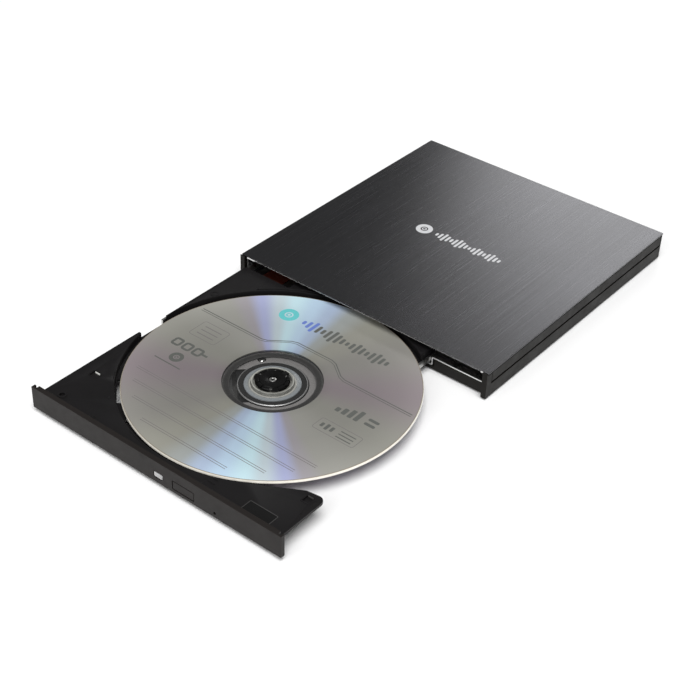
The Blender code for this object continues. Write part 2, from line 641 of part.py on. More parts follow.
def make_rods_and_screw():
    near, far = ROD_ENDS
    screw_end = MOTOR_U[0] - GAP
    for name, v in (("main_guide_rod", MAIN_ROD_V), ("second_guide_rod", SECOND_ROD_V)):
        rod(name, ROD_RADIUS, (near, v, ROD_Z), (far, v, ROD_Z), TRAVERSE, "steel", 16)
    rod("lead_screw", SCREW_RADIUS, (near, SCREW_V, SCREW_Z), (screw_end, SCREW_V, SCREW_Z),
        TRAVERSE, "steel", 16)
    rod("stepper_motor", MOTOR_RADIUS, (MOTOR_U[0], SCREW_V, SCREW_Z), (MOTOR_U[1], SCREW_V, SCREW_Z),
        TRAVERSE, "steel", 24)


def make_pickup():
    sled = box("pickup_sled", (LENS_U - 8.0, LENS_U + 3.6), (-7.0, 7.0), (TRAVERSE_BOTTOM, 5.95),
               TRAVERSE, "pickup_metal")
    join(sled, box("sled_arms", (LENS_U - 8.0, LENS_U - 0.7), (-SLED_ARM - 0.4, SLED_ARM),
                   (TRAVERSE_BOTTOM, 5.94), TRAVERSE))
    cut(sled, box("lens_room", (LENS_U - 2.95, LENS_U + 2.95), (-3.85, 3.85), (3.0, 7.0), TRAVERSE))
    for v in (MAIN_ROD_V, SECOND_ROD_V):
        cut(sled, box("rod_notch", (LENS_U - 9.0, LENS_U + 1.0), (v - 0.9, v + 0.9), (3.0, 5.65), TRAVERSE))
    box("lens_holder", (LENS_U - 2.6, LENS_U + 2.6), (-3.5, 3.5), (5.0, 6.4), TRAVERSE, "chip")
    profile = ((0, 7.05), (0.9, 6.98), (1.7, 6.7), (0, 6.7))
    turned("objective_lens", profile, TRAVERSE, "lens_glass", centre=(LENS_U, 0.0), steps=24)


def make_spindle():
    base = ((0, 4.35), (1.15, 4.35), (1.15, 5.9), (2.6, 5.9), (2.6, 4.5), (12.7, 4.5),
            (12.7, 4.05), (0, 4.05))
    turned("spindle_base", base, SPINDLE, "steel")
    stator = ((3.0, 5.5), (10.6, 5.5), (10.6, 4.8), (3.0, 4.8))
    turned("spindle_stator", stator, SPINDLE, "copper", closed=True, steps=36)
    can = ((0, 6.5), (12.2, 6.5), (12.2, 4.8), (11.7, 4.8), (11.7, 6.2), (0.8, 6.2), (0.8, 4.65), (0, 4.65))
    turned("rotor_can", can, SPINDLE, "steel")
    table = ((0, 8.6), (0.7, 8.6), (0.7, 9.3), (1.5, 9.3), (1.5, TABLE_TOP), (TABLE_RADIUS, TABLE_TOP),
             (TABLE_RADIUS, TABLE_BOTTOM), (0, TABLE_BOTTOM))
    turned("turntable", table, SPINDLE, "deck_metal")
    inner, outer = RING_RADII
    ring = ((inner, TABLE_TOP), (outer, TABLE_TOP), (outer, TABLE_BOTTOM), (inner, TABLE_BOTTOM))
    turned("rubber_ring", ring, SPINDLE, "rubber", closed=True)


def make_hub():
    bottom = TABLE_TOP + GAP
    profile = ((HUB_BORE, HUB_TOP), (HUB_RADIUS - 0.65, HUB_TOP), (HUB_RADIUS, HUB_TOP - 0.6),
               (HUB_RADIUS, bottom), (HUB_BORE, bottom))
    hub = turned("hub", profile, SPINDLE, "tray_plastic", closed=True)
    for index, degrees in enumerate(CLAW_ANGLES):
        angle = math.radians(degrees)
        slot = box("claw_slot", (3.0, 9.0), (-CLAW_HALF - 0.35, CLAW_HALF + 0.35),
                   (CLAW_Z[0] - 0.35, 10.0), SPINDLE)
        slot.rotation_euler.z = angle
        cut(hub, slot)
        claw = box(f"hub_claw_{index + 1}", CLAW_REACH, (-CLAW_HALF, CLAW_HALF), CLAW_Z,
                   SPINDLE, "tray_plastic")
        claw.rotation_euler.z = angle


def make_disc():
    profile = ((DISC_HOLE, DISC_TOP), (DISC_RADIUS, DISC_TOP), (DISC_RADIUS, DISC_BOTTOM),
               (DISC_HOLE, DISC_BOTTOM))
    turned("optical_disc", profile, SPINDLE, "disc_face", closed=True, steps=WIDE_ROUND)


make_top_plate()
make_lower_shell()
make_upper_shell()
make_feet()
make_case_screws()
make_pan()
make_drive_cover()
make_guides_and_rails()
make_boards()
make_usb_socket()
make_latch_post()
make_tray_body()
make_bezel()
make_button()
make_front_board()
make_tray_bottom_cover()
make_latch()
make_deck()
make_traverse_frame()
make_rods_and_screw()
make_pickup()
make_spindle()
make_hub()
make_disc()
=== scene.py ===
"""Looks of the slim external optical drive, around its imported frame.

Lengths are in millimetres, apart from the camera and the lights, which are in metres.
The rest pose has the tray out. A node's mesh is where the node is, so a rounded copy of it needs
no placing.
Pieces of the disc, the hub and the tray are drawn around the disc's centre.
"""
import json
import math

import bmesh
import bpy
from mathutils import Matrix, Quaternion, Vector


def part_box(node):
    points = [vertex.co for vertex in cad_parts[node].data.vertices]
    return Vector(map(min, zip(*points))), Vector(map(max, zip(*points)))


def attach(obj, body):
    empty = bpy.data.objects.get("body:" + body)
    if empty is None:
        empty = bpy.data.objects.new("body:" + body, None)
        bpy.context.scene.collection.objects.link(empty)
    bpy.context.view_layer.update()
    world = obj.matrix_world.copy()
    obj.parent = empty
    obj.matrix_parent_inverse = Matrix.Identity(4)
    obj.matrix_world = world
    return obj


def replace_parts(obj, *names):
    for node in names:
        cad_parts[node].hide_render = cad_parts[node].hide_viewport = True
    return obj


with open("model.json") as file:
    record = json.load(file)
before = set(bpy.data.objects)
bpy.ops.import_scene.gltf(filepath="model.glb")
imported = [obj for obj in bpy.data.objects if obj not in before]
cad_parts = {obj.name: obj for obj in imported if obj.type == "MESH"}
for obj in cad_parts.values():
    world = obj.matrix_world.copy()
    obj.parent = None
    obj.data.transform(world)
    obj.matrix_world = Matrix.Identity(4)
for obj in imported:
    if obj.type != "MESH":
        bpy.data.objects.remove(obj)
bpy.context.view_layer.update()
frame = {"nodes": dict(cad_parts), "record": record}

MM = 0.001
SCENE = bpy.context.scene
BODIES = frame["record"]["behaviour"]["bodies"]
BODY_OF = {node: body for body, nodes in BODIES.items() for node in nodes}


def span(node):
    """The node's lowest and highest corners, in millimetres."""
    low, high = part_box(node)
    return low / MM, high / MM


def span_and_centre(node):
    """The node's corners, and the point of the floor under its middle."""
    low, high = span(node)
    return low, high, Vector(((low.x + high.x) / 2, (low.y + high.y) / 2, 0.0))


DISC_LOW, DISC_HIGH, DISC = span_and_centre("optical_disc")
DISC_TOP = DISC_HIGH.z
DISC_BOTTOM = DISC_LOW.z
TRAY_TOP = span("tray_body")[1].z
LID_TOP = span("top_plate")[1].z


# ---- shaders -------------------------------------------------------------

def tone(red, green, blue):
    """A colour from display values of 0 to 255."""
    shares = [value / 255 for value in (red, green, blue)]
    return (*[s / 12.92 if s <= 0.04045 else ((s + 0.055) / 1.055) ** 2.4 for s in shares], 1.0)


NOISE_LOW, NOISE_HIGH = 0.3, 0.7


class Finish:
    """A Principled material built one node at a time. Its patterns are sized in millimetres."""

    def __init__(self, name, **values):
        self.material = bpy.data.materials.new(name)
        self.material.use_nodes = True
        self.tree = self.material.node_tree
        self.shader = self.tree.nodes["Principled BSDF"]
        self.place = self.add("TexCoord").outputs["Object"]
        self.place = self.stretched((1 / MM, 1 / MM, 1 / MM))
        self.set(**values)

    def feed(self, socket, value):
        if isinstance(value, bpy.types.NodeSocket):
            self.tree.links.new(value, socket)
        else:
            socket.default_value = value

    def set(self, **values):
        for name, value in values.items():
            socket = name.replace("_", " ").title().replace("Ior", "IOR")
            self.feed(self.shader.inputs[socket], value)

    def add(self, kind, sockets=(), **settings):
        node = self.tree.nodes.new("ShaderNode" + kind)
        for name, value in settings.items():
            setattr(node, name, value)
        for name, value in dict(sockets).items():
            self.feed(node.inputs[name], value)
        return node

    def stretched(self, scale):
        return self.add("Mapping", {"Vector": self.place, "Scale": scale}).outputs["Vector"]

    def noise(self, scale, detail=2.0, roughness=0.5, stretch=None):
        place = self.stretched(stretch) if stretch else self.place
        return self.add("TexNoise", {"Vector": place, "Scale": scale, "Detail": detail,
                                     "Roughness": roughness}).outputs["Fac"]

    def cells(self, scale):
        return self.add("TexVoronoi", {"Vector": self.place, "Scale": scale}).outputs["Distance"]

    def math(self, operation, first, second=0.0):
        return self.add("Math", {0: first, 1: second}, operation=operation).outputs[0]

    def remap(self, value, low, high, to_low, to_high):
        return self.add("MapRange", {"Value": value, "From Min": low, "From Max": high,
                                     "To Min": to_low, "To Max": to_high}).outputs["Result"]

    def spread(self, pattern, to_low=0.0, to_high=1.0):
        """The pattern's middle values, where most of a noise lies, over the given range."""
        return self.remap(pattern, NOISE_LOW, NOISE_HIGH, to_low, to_high)

    def waves(self, length, spacing):
        """A sine along a length, with one wave for each spacing."""
        return self.math('SINE', self.math('MULTIPLY', length, math.tau / spacing))

    def axis(self, name):
        return self.add("SeparateXYZ", {"Vector": self.place}).outputs[name]

    def ramp(self, value, stops, interpolation='LINEAR'):
        node = self.add("ValToRGB", {"Fac": value})
        band = node.color_ramp
        band.interpolation = interpolation
        while len(band.elements) < len(stops):
            band.elements.new(0.5)
        for element, (place, colour) in zip(band.elements, stops):
            element.position = place
            element.color = colour
        return node.outputs["Color"]

    def mix(self, share, first, second, blend='MIX'):
        node = self.add("Mix", data_type='RGBA', blend_type=blend)
        for index, value in ((0, share), (6, first), (7, second)):
            self.feed(node.inputs[index], value)
        return node.outputs[2]

    def bump(self, height, strength, distance):
        return self.add("Bump", {"Height": height, "Strength": strength,
                                 "Distance": distance * MM}).outputs["Normal"]

    def polar(self):
        """The distance from the piece's own axis, in millimetres, and the angle around it as 0 to 1."""
        parts = self.add("SeparateXYZ", {"Vector": self.place}).outputs
        squares = [self.math('MULTIPLY', parts[i], parts[i]) for i in (0, 1)]
        radius = self.math('SQRT', self.math('ADD', *squares))
        angle = self.math('DIVIDE', self.math('ARCTAN2', parts[1], parts[0]), math.tau)
        return radius, self.math('FRACT', self.math('ADD', angle, 1.0))


def grey(value):
    return (value, value, value, 1.0)


def dimmed(colour, share):
    """The colour with its red, green and blue at the given share, and no brighter than white."""
    return tuple(min(1.0, part * share) for part in colour[:3]) + (1.0,)


SHADE_CHANGE = 0.12


def moulded_plastic(name, colour, roughness, grain, depth=0.012, strength=0.35, shine=0.5):
    """Plastic from a spark-eroded mould: an even grain, slow shade changes and faint handling marks."""
    made = Finish(name, specular_ior_level=shine)
    fine = made.noise(grain, 3.0, 0.6)
    slow = made.noise(0.045, 2.0)
    touch = made.noise(0.16, 4.0, 0.65)
    lighter = dimmed(colour, 1 + SHADE_CHANGE)
    base = made.mix(made.remap(slow, 0.35, 0.65, 0.0, 1.0), dimmed(colour, 1 - SHADE_CHANGE), lighter)
    speck = made.mix(made.remap(fine, 0.3, 0.75, 0.0, 0.35), base, lighter)
    rough = made.math('ADD', made.remap(touch, 0.35, 0.7, roughness - 0.05, roughness + 0.07),
                      made.spread(fine, -0.04, 0.04))
    made.set(base_color=speck, roughness=rough, normal=made.bump(fine, strength, depth))
    return made.material


def sheet_metal(name, colour, roughness=0.32, metallic=1.0, stretch=(0.35, 9.0, 9.0), depth=0.004):
    """Rolled sheet: fine rolling lines one way, cloudy plating, and small scuffs."""
    made = Finish(name, metallic=metallic)
    lines = made.noise(1.0, 4.0, 0.6, stretch)
    cloud = made.noise(0.25, 4.0, 0.6)
    scuff = made.remap(made.noise(1.6, 5.0, 0.7), 0.58, 0.72, 0.0, 1.0)
    darker = dimmed(colour, 0.78)
    base = made.mix(made.spread(lines), darker, colour)
    base = made.mix(made.remap(cloud, 0.35, 0.7, 0.0, 0.3), base, darker)
    rough = made.math('ADD', made.spread(cloud, roughness - 0.06, roughness + 0.08),
                      made.math('MULTIPLY', scuff, 0.12))
    made.set(base_color=base, roughness=rough, normal=made.bump(lines, 0.3, depth))
    return made.material


def anodised_aluminium():
    """Black anodised sheet, brushed from front to rear before it was dyed."""
    made = Finish("anodised_aluminium", metallic=1.0, anisotropic=0.55)
    fine = made.noise(1.0, 4.0, 0.75, (5.0, 0.012, 1.0))
    coarse = made.noise(1.0, 2.0, 0.6, (1.1, 0.004, 1.0))
    cloud = made.noise(0.03, 2.0)
    streaks = made.math('ADD', made.math('MULTIPLY', fine, 0.8), made.math('MULTIPLY', coarse, 0.2))
    base = made.ramp(streaks, ((0.36, (0.084, 0.084, 0.088, 1.0)), (0.52, (0.118, 0.118, 0.125, 1.0)),
                               (0.66, (0.165, 0.165, 0.174, 1.0))))
    base = made.mix(made.remap(cloud, 0.35, 0.65, 0.0, 0.18), base, grey(0.08))
    rough = made.remap(streaks, 0.35, 0.65, 0.22, 0.28)
    along = made.add("CombineXYZ", {"X": 0.0, "Y": 1.0, "Z": 0.0}).outputs["Vector"]
    made.set(base_color=base, roughness=rough, tangent=along, normal=made.bump(fine, 0.012, 0.003))
    return made.material


def rubber():
    made = Finish("foot_rubber")
    fine = made.noise(5.0, 4.0, 0.6)
    dust = made.remap(made.noise(0.9, 5.0, 0.7), 0.55, 0.75, 0.0, 0.35)
    base = made.mix(dust, grey(0.017), grey(0.06))
    made.set(base_color=base, roughness=made.spread(fine, 0.72, 0.9),
             normal=made.bump(fine, 0.5, 0.03))
    return made.material


def circuit_board():
    """Green solder mask over copper tracks, with pale pads."""
    made = Finish("circuit_board", coat_weight=0.3, coat_roughness=0.2)
    bricks = made.add("TexBrick", {"Vector": made.place, "Scale": 0.55, "Mortar Size": 0.035,
                                   "Color1": grey(0.0), "Color2": grey(0.0), "Mortar": grey(1.0)})
    tracks = bricks.outputs["Color"]
    pads = made.remap(made.cells(0.9), 0.14, 0.18, 1.0, 0.0)
    weave = made.noise(4.0)
    mask = made.mix(made.spread(weave), (0.006, 0.05, 0.022, 1.0), (0.01, 0.075, 0.032, 1.0))
    base = made.mix(tracks, mask, (0.02, 0.13, 0.05, 1.0))
    base = made.mix(pads, base, (0.55, 0.50, 0.38, 1.0))
    made.set(base_color=base, roughness=made.remap(pads, 0.0, 1.0, 0.42, 0.28),
             normal=made.bump(tracks, 0.4, 0.03))
    return made.material


def flex_film():
    """Amber-red polyimide film over parallel copper tracks."""
    made = Finish("flex_film", roughness=0.35, coat_weight=0.4, coat_roughness=0.25)
    wave = made.waves(made.axis("X"), 0.8)
    tracks = made.remap(wave, -0.2, 0.2, 0.0, 1.0)
    mottled = made.noise(0.6, 3.0)
    film = made.mix(made.spread(mottled), (0.030, 0.005, 0.004, 1.0), (0.050, 0.008, 0.005, 1.0))
    base = made.mix(tracks, film, (0.085, 0.018, 0.009, 1.0))
    made.set(base_color=base, normal=made.bump(tracks, 0.4, 0.02))
    return made.material


def copper_winding():
    made = Finish("copper_winding", metallic=1.0)
    wires = made.add("TexWave", {"Vector": made.place, "Scale": 2.2, "Distortion": 0.6,
                                 "Detail": 2.0}, bands_direction='Y').outputs["Fac"]
    base = made.mix(wires, (0.30, 0.10, 0.035, 1.0), (0.72, 0.30, 0.13, 1.0))
    made.set(base_color=base, roughness=made.remap(wires, 0.0, 1.0, 0.45, 0.3),
             normal=made.bump(wires, 0.8, 0.08))
    return made.material


def cast_metal():
    """Zinc casting of the pickup, with a fine pebbled skin."""
    made = Finish("cast_metal", metallic=1.0)
    fine = made.noise(4.0, 4.0, 0.6)
    base = made.ramp(fine, ((0.3, grey(0.24)), (0.7, grey(0.42))))
    made.set(base_color=base, roughness=made.spread(fine, 0.35, 0.55),
             normal=made.bump(fine, 0.4, 0.03))
    return made.material


def coated_glass():
    made = Finish("coated_glass", ior=1.52, coat_weight=1.0, coat_roughness=0.02)
    radius, _ = made.polar()
    base = made.ramp(made.remap(radius, 0.0, 1.7, 0.0, 1.0), ((0.0, (0.02, 0.05, 0.16, 1.0)),
                     (0.55, (0.06, 0.14, 0.34, 1.0)), (1.0, (0.16, 0.10, 0.30, 1.0))))
    smear = made.noise(2.0, 2.0)
    made.set(base_color=base, roughness=made.spread(smear, 0.03, 0.09))
    return made.material


def lamp_plastic():
    """Milky light guide with a cloudy tone."""
    made = Finish("lamp_plastic", subsurface_weight=0.3, subsurface_radius=(0.8, 0.9, 1.0),
                  subsurface_scale=MM, specular_ior_level=0.4)
    cloud = made.noise(0.9, 3.0)
    base = made.mix(made.spread(cloud), grey(0.38), grey(0.50))
    made.set(base_color=base, roughness=made.spread(cloud, 0.3, 0.42))
    return made.material


# Radii on the disc, from its hole outwards
HOLE_RADIUS = 7.52
RIM_OUTER = 8.5
BAND_INNER = 17.3
LABEL_INNER, LABEL_OUTER = 20.3, 59.4
WALL_INNER = 59.64
EDGE_RADIUS = 59.98

# The label's display colours by angle over half a turn, which paint two coloured fans as a painted
# reflection, and its brightness by radius, which is painted light and shade
LABEL_PAINTED_FANS = (
    (0, (134, 133, 126)), (30, (127, 118, 121)), (60, (128, 126, 121)),
    (84, (139, 138, 129)), (95, (147, 151, 149)), (104, (159, 174, 196)),
    (112, (172, 194, 213)), (121, (181, 208, 216)), (128, (176, 189, 195)),
    (136, (155, 160, 192)), (143, (147, 143, 147)), (151, (145, 144, 138)),
    (180, (134, 133, 126)))
LABEL_PAINTED_SHADES = ((18.0, 0.80), (24.0, 0.93), (38.0, 0.96), (50.0, 1.10), (58.6, 1.30))


def label_silver():
    """Silver printed face. The two opposite coloured fans of light that its fine round grain gives are
    painted into its colour by angle, a painted reflection, and its brightness by radius is painted light
    and shade.
    """
    made = Finish("label_silver", metallic=0.2, anisotropic=0.5, anisotropic_rotation=0.25)
    radius, turn = made.polar()
    half = made.math('FRACT', made.math('MULTIPLY', turn, 2.0))
    # painted reflection: the coloured fans by angle
    fans = made.ramp(half, [(degrees / 180, tone(*colour)) for degrees, colour in LABEL_PAINTED_FANS], 'EASE')
    first, last = LABEL_PAINTED_SHADES[0][0], LABEL_PAINTED_SHADES[-1][0]
    # painted light and shade by radius, darker near the hole and brighter near the rim
    shade = made.ramp(made.remap(radius, first, last, 0.0, 1.0),
                      [((r - first) / (last - first), grey(value / 2)) for r, value in LABEL_PAINTED_SHADES])
    painted_light = made.mix(1.0, fans, made.mix(1.0, shade, grey(2.0), 'MULTIPLY'), 'MULTIPLY')
    painted_light.node.clamp_result = False
    grain = made.noise(1.0, 3.0, 0.6, (3.0, 3.0, 3.0))
    rings = made.waves(radius, 0.12)
    base = made.mix(made.spread(grain, 0.0, 0.08), painted_light, grey(0.16))
    around = made.add("Tangent", direction_type='RADIAL', axis='Z').outputs["Tangent"]
    made.set(base_color=base, roughness=made.spread(grain, 0.34, 0.42), tangent=around,
             normal=made.bump(rings, 0.03, 0.002))
    return made.material


def data_mirror():
    """The recorded side: a mirror with a violet cast and rainbow fans, the fans painted into its colour by
    angle as a painted reflection.
    """
    made = Finish("data_mirror", metallic=1.0, anisotropic=0.8, anisotropic_rotation=0.25,
                  coat_weight=1.0, coat_roughness=0.02)
    radius, turn = made.polar()
    # painted reflection: rainbow fans by angle
    fans = made.math('FRACT', made.math('MULTIPLY', turn, 2.0))
    painted_fan_tints = made.ramp(fans, ((0.0, (0.34, 0.31, 0.40, 1.0)), (0.30, (0.38, 0.30, 0.46, 1.0)),
                             (0.52, (0.36, 0.52, 0.62, 1.0)), (0.62, (0.48, 0.62, 0.50, 1.0)),
                             (0.70, (0.62, 0.46, 0.50, 1.0)), (0.80, (0.36, 0.31, 0.42, 1.0)),
                             (1.0, (0.34, 0.31, 0.40, 1.0))), 'EASE')
    written = made.ramp(made.remap(radius, 20.0, 58.6, 0.0, 1.0),
                        ((0.0, grey(0.7)), (0.04, grey(1.0)), (0.95, grey(1.0)), (1.0, grey(0.6))))
    around = made.add("Tangent", direction_type='RADIAL', axis='Z').outputs["Tangent"]
    smear = made.noise(0.2, 4.0, 0.6)
    made.set(base_color=made.mix(1.0, painted_fan_tints, written, 'MULTIPLY'), tangent=around,
             roughness=made.spread(smear, 0.14, 0.2))
    return made.material


def clear_plastic(name, colour, alpha):
    """Polycarbonate that shows what lies under it, with faint flow lines."""
    made = Finish(name, alpha=alpha, ior=1.58, specular_ior_level=0.9)
    radius, _ = made.polar()
    rings = made.waves(radius, 1.1)
    flow = made.noise(0.5, 3.0)
    base = made.mix(made.spread(flow), dimmed(colour, 0.85), colour)
    made.set(base_color=base, roughness=made.spread(flow, 0.06, 0.108),
             normal=made.bump(rings, 0.05, 0.02))
    return made.material


def edge_plastic():
    """The disc's clear edge: a brownish line against the label, and a wall painted near-white as a painted
    glow of the light that gathers in the clear plastic.
    """
    made = Finish("edge_plastic", ior=1.58, coat_weight=0.5, coat_roughness=0.08)
    radius, _ = made.polar()
    rim = made.ramp(made.remap(radius, LABEL_OUTER, 59.65, 0.0, 1.0),
                    ((0.0, tone(146, 140, 130)), (0.4, tone(120, 110, 98)), (1.0, tone(168, 160, 145))))
    # painted glow: the wall near-white at mid-height and dimmer towards its top and bottom
    wall = made.ramp(made.remap(made.axis("Z"), DISC_BOTTOM, DISC_TOP, 0.0, 1.0),
                     ((0.0, tone(210, 204, 188)), (0.1, tone(254, 250, 238)),
                      (0.75, tone(254, 250, 240)), (0.92, tone(236, 229, 213)),
                      (1.0, tone(190, 182, 166))))
    base = made.mix(made.remap(radius, WALL_INNER, 59.76, 0.0, 1.0), rim, wall)
    glint = made.noise(0.35, 3.0)
    base = made.mix(made.remap(glint, 0.35, 0.7, 0.0, 0.2), base, tone(170, 160, 146))
    made.set(base_color=base, roughness=made.spread(glint, 0.12, 0.25))
    return made.material


# The turntable's display colours by radius. The cream band from 8.95 to 9.5 is a painted highlight of the
# disc's hole edge, and the darker lines at its steps and rim are painted shade.
TABLE_TONES_AND_PAINTED_LIGHT = (
    (7.0, (150, 149, 142)), (8.5, (176, 175, 166)), (8.7, (96, 96, 92)),
    (8.95, (234, 233, 224)), (9.5, (226, 225, 216)), (9.62, (160, 163, 163)),
    (9.9, (190, 196, 197)), (11.2, (184, 191, 196)), (11.45, (150, 155, 160)),
    (11.62, (100, 102, 104)))


def table_face():
    """The turntable's painted face, in thin round steps, with a painted highlight band and painted shade
    at the steps.
    """
    made = Finish("table_face", coat_weight=0.4, coat_roughness=0.1)
    radius, _ = made.polar()
    first, last = TABLE_TONES_AND_PAINTED_LIGHT[0][0], TABLE_TONES_AND_PAINTED_LIGHT[-1][0]
    stops = [((r - first) / (last - first), tone(*colour)) for r, colour in TABLE_TONES_AND_PAINTED_LIGHT]
    base = made.ramp(made.remap(radius, first, last, 0.0, 1.0), stops)
    uneven = made.noise(0.8, 3.0)
    base = made.mix(made.remap(uneven, 0.4, 0.7, 0.0, 0.25), base, tone(128, 130, 128))
    made.set(base_color=base, roughness=made.spread(uneven, 0.2, 0.34))
    return made.material


def hole_rim():
    """The disc's inner rim: thick clear plastic, with the fine round lines of light it gathers painted
    into its colour by radius as painted highlights.
    """
    made = Finish("hole_rim", ior=1.58, coat_weight=1.0, coat_roughness=0.04)
    radius, _ = made.polar()
    # painted highlights between darker rings, by radius
    lines = made.ramp(made.remap(radius, HOLE_RADIUS, RIM_OUTER, 0.0, 1.0),
                      ((0.0, tone(52, 52, 50)), (0.3, tone(88, 88, 84)), (0.5, tone(150, 150, 143)),
                       (0.62, tone(92, 92, 88)), (0.8, tone(178, 178, 170)),
                       (1.0, tone(196, 196, 188))))
    uneven = made.noise(0.35, 3.0)
    base = made.mix(made.remap(uneven, 0.35, 0.7, 0.0, 0.55), lines, tone(104, 104, 100))
    made.set(base_color=base, roughness=made.spread(uneven, 0.1, 0.22))
    return made.material


def mirror_band():
    """The dark smooth band inside the recorded area, fading out under the label."""
    made = Finish("mirror_band", coat_weight=0.3, coat_roughness=0.2)
    radius, _ = made.polar()
    across = made.ramp(made.remap(radius, BAND_INNER, LABEL_INNER, 0.0, 1.0),
                       ((0.0, tone(92, 91, 90)), (0.16, tone(62, 61, 60)), (0.6, tone(60, 59, 58)),
                        (1.0, tone(112, 111, 108))))
    cloud = made.noise(0.3, 3.0)
    base = made.mix(made.remap(cloud, 0.35, 0.7, 0.0, 0.2), across, tone(90, 89, 87))
    made.set(base_color=base, roughness=made.spread(cloud, 0.3, 0.42))
    return made.material


def printed_ink(name, colour, roughness=0.45):
    """Thin screen-printed ink with a slightly uneven film."""
    made = Finish(name)
    film = made.noise(2.5, 4.0, 0.6)
    made.set(base_color=made.mix(made.spread(film), dimmed(colour, 0.8), colour),
             roughness=made.spread(film, roughness - 0.05, roughness + 0.1),
             normal=made.bump(film, 0.15, 0.004))
    return made.material


def floor_paint():
    made = Finish("floor_paint")
    slow = made.noise(0.004, 2.0)
    made.set(base_color=made.mix(slow, grey(0.88), grey(0.92)), roughness=0.6)
    return made.material


ANODISED = anodised_aluminium()
SIDE = moulded_plastic("side_plastic", (0.0058, 0.0050, 0.0038, 1.0), 0.46, 9.0, shine=0.15)
BEZEL = moulded_plastic("bezel_plastic", (0.0128, 0.0106, 0.0097, 1.0), 0.46, 9.0, shine=0.20)
TRAY = moulded_plastic("tray_plastic", (0.0070, 0.0064, 0.0068, 1.0), 0.44, 8.0, 0.010, 0.3, shine=0.20)
HUB_PLASTIC = moulded_plastic("hub_plastic", grey(0.003), 0.34, 5.0, 0.006, 0.2, shine=0.16)
INNER = moulded_plastic("connector_plastic", (0.020, 0.020, 0.021, 1.0), 0.42, 6.0)
CHIP = moulded_plastic("chip_resin", (0.014, 0.014, 0.015, 1.0), 0.40, 10.0)
# Lighter plastic: wear on the gloss patch's frame, and a painted highlight as the strip on the lobe hole's
# rear edge
WORN_AND_HIGHLIGHT = moulded_plastic("worn_and_highlight_plastic", (0.040, 0.039, 0.038, 1.0), 0.4, 8.0)
GLOSS = moulded_plastic("gloss_black", grey(0.004), 0.16, 2.0, 0.002, 0.05)
STEEL = sheet_metal("plated_steel", (0.62, 0.62, 0.60, 1.0), 0.30)
# Near-white sheets with a large diffuse share, so their edges look bright from every side: bare metal in
# part and painted highlight in part
CHAMFER_HIGHLIGHT = sheet_metal("chamfer_highlight", (0.90, 0.90, 0.89, 1.0), 0.42, 0.2)
EDGE_HIGHLIGHT_METAL = sheet_metal("edge_highlight_metal", (0.92, 0.92, 0.91, 1.0), 0.38, 0.7)
BRIGHT_STEEL = sheet_metal("bright_steel", (0.80, 0.80, 0.78, 1.0), 0.16, depth=0.001)
GOLD = sheet_metal("contact_gold", (0.83, 0.58, 0.22, 1.0), 0.24, depth=0.001)
DECK = sheet_metal("deck_metal", (0.52, 0.50, 0.49, 1.0), 0.48, 0.25, (6.0, 6.0, 6.0), 0.02)
RUBBER = rubber()
BOARD = circuit_board()
FLEX = flex_film()
COPPER = copper_winding()
CAST = cast_metal()
GLASS = coated_glass()
LAMP = lamp_plastic()
LABEL = label_silver()
MIRROR = data_mirror()
CLEAR = clear_plastic("clear_polycarbonate", grey(0.03), 0.22)
CLIP = moulded_plastic("clip_plastic", tone(205, 205, 200), 0.35, 4.0)
BAND = mirror_band()
EDGE = edge_plastic()
HOLE_RIM = hole_rim()
TABLE = table_face()
INK = printed_ink("grey_ink", tone(88, 90, 86))
TEAL_INK = printed_ink("teal_ink", tone(96, 190, 192))
BLUE_INK = printed_ink("blue_ink", tone(98, 120, 190))
FAINT_INK = printed_ink("faint_ink", tone(112, 108, 108))
LID_INK = printed_ink("lid_ink", tone(205, 206, 208), 0.35)


# ---- shapes --------------------------------------------------------------

SHARP_ANGLE = math.radians(32)
BEVEL_ANGLE = math.radians(35)
BEVEL_SEGMENTS = 2


def add_piece(name, bm, finish, body, place=None, scale=MM):
    """A new piece from a bmesh in millimetres, drawn around place, which becomes its origin."""
    bmesh.ops.scale(bm, vec=(scale, scale, scale), verts=bm.verts)
    bmesh.ops.recalc_face_normals(bm, faces=bm.faces)
    mesh = bpy.data.meshes.new(name)
    bm.to_mesh(mesh)
    bm.free()
    mesh.materials.append(finish)
    mesh.shade_smooth()
    mesh.set_sharp_from_angle(angle=SHARP_ANGLE)
    piece = bpy.data.objects.new(name, mesh)
    SCENE.collection.objects.link(piece)
    if place:
        piece.location = Vector(place) * MM
    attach(piece, body)
    return piece


def soften(piece, width):
    """Rounds the piece's sharp edges."""
    edges = piece.modifiers.new("edges", 'BEVEL')
    edges.width = width * MM
    edges.segments = BEVEL_SEGMENTS
    edges.limit_method = 'ANGLE'
    edges.angle_limit = BEVEL_ANGLE
    edges.miter_outer = 'MITER_ARC'
    edges.harden_normals = True
    edges.use_clamp_overlap = True
    return piece


def rounded_copy(node, finish, width):
    """The node's own shape with rounded edges, in its place. Its mesh is already in metres."""
    bm = bmesh.new()
    bm.from_mesh(frame["nodes"][node].data)
    bmesh.ops.remove_doubles(bm, verts=bm.verts, dist=1e-6)
    bmesh.ops.dissolve_limit(bm, angle_limit=math.radians(1), verts=bm.verts, edges=bm.edges)
    piece = add_piece(f"{node}_shape", bm, finish, BODY_OF[node], scale=1.0)
    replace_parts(piece, node)
    return soften(piece, width)


def on_disc(name, bm, finish):
    """A piece on the disc's face or in its body."""
    return add_piece(name, bm, finish, "rotor", DISC)


def on_tray(name, bm, finish):
    return add_piece(name, bm, finish, "tray", DISC)


def spoke(bm, profile, angle, rise=0.0, centre=(0.0, 0.0)):
    """The profile's (radius, z) points at an angle about an upright axis."""
    x, y = math.cos(angle), math.sin(angle)
    return [bm.verts.new((centre[0] + r * x, centre[1] + r * y, rise + z)) for r, z in profile]


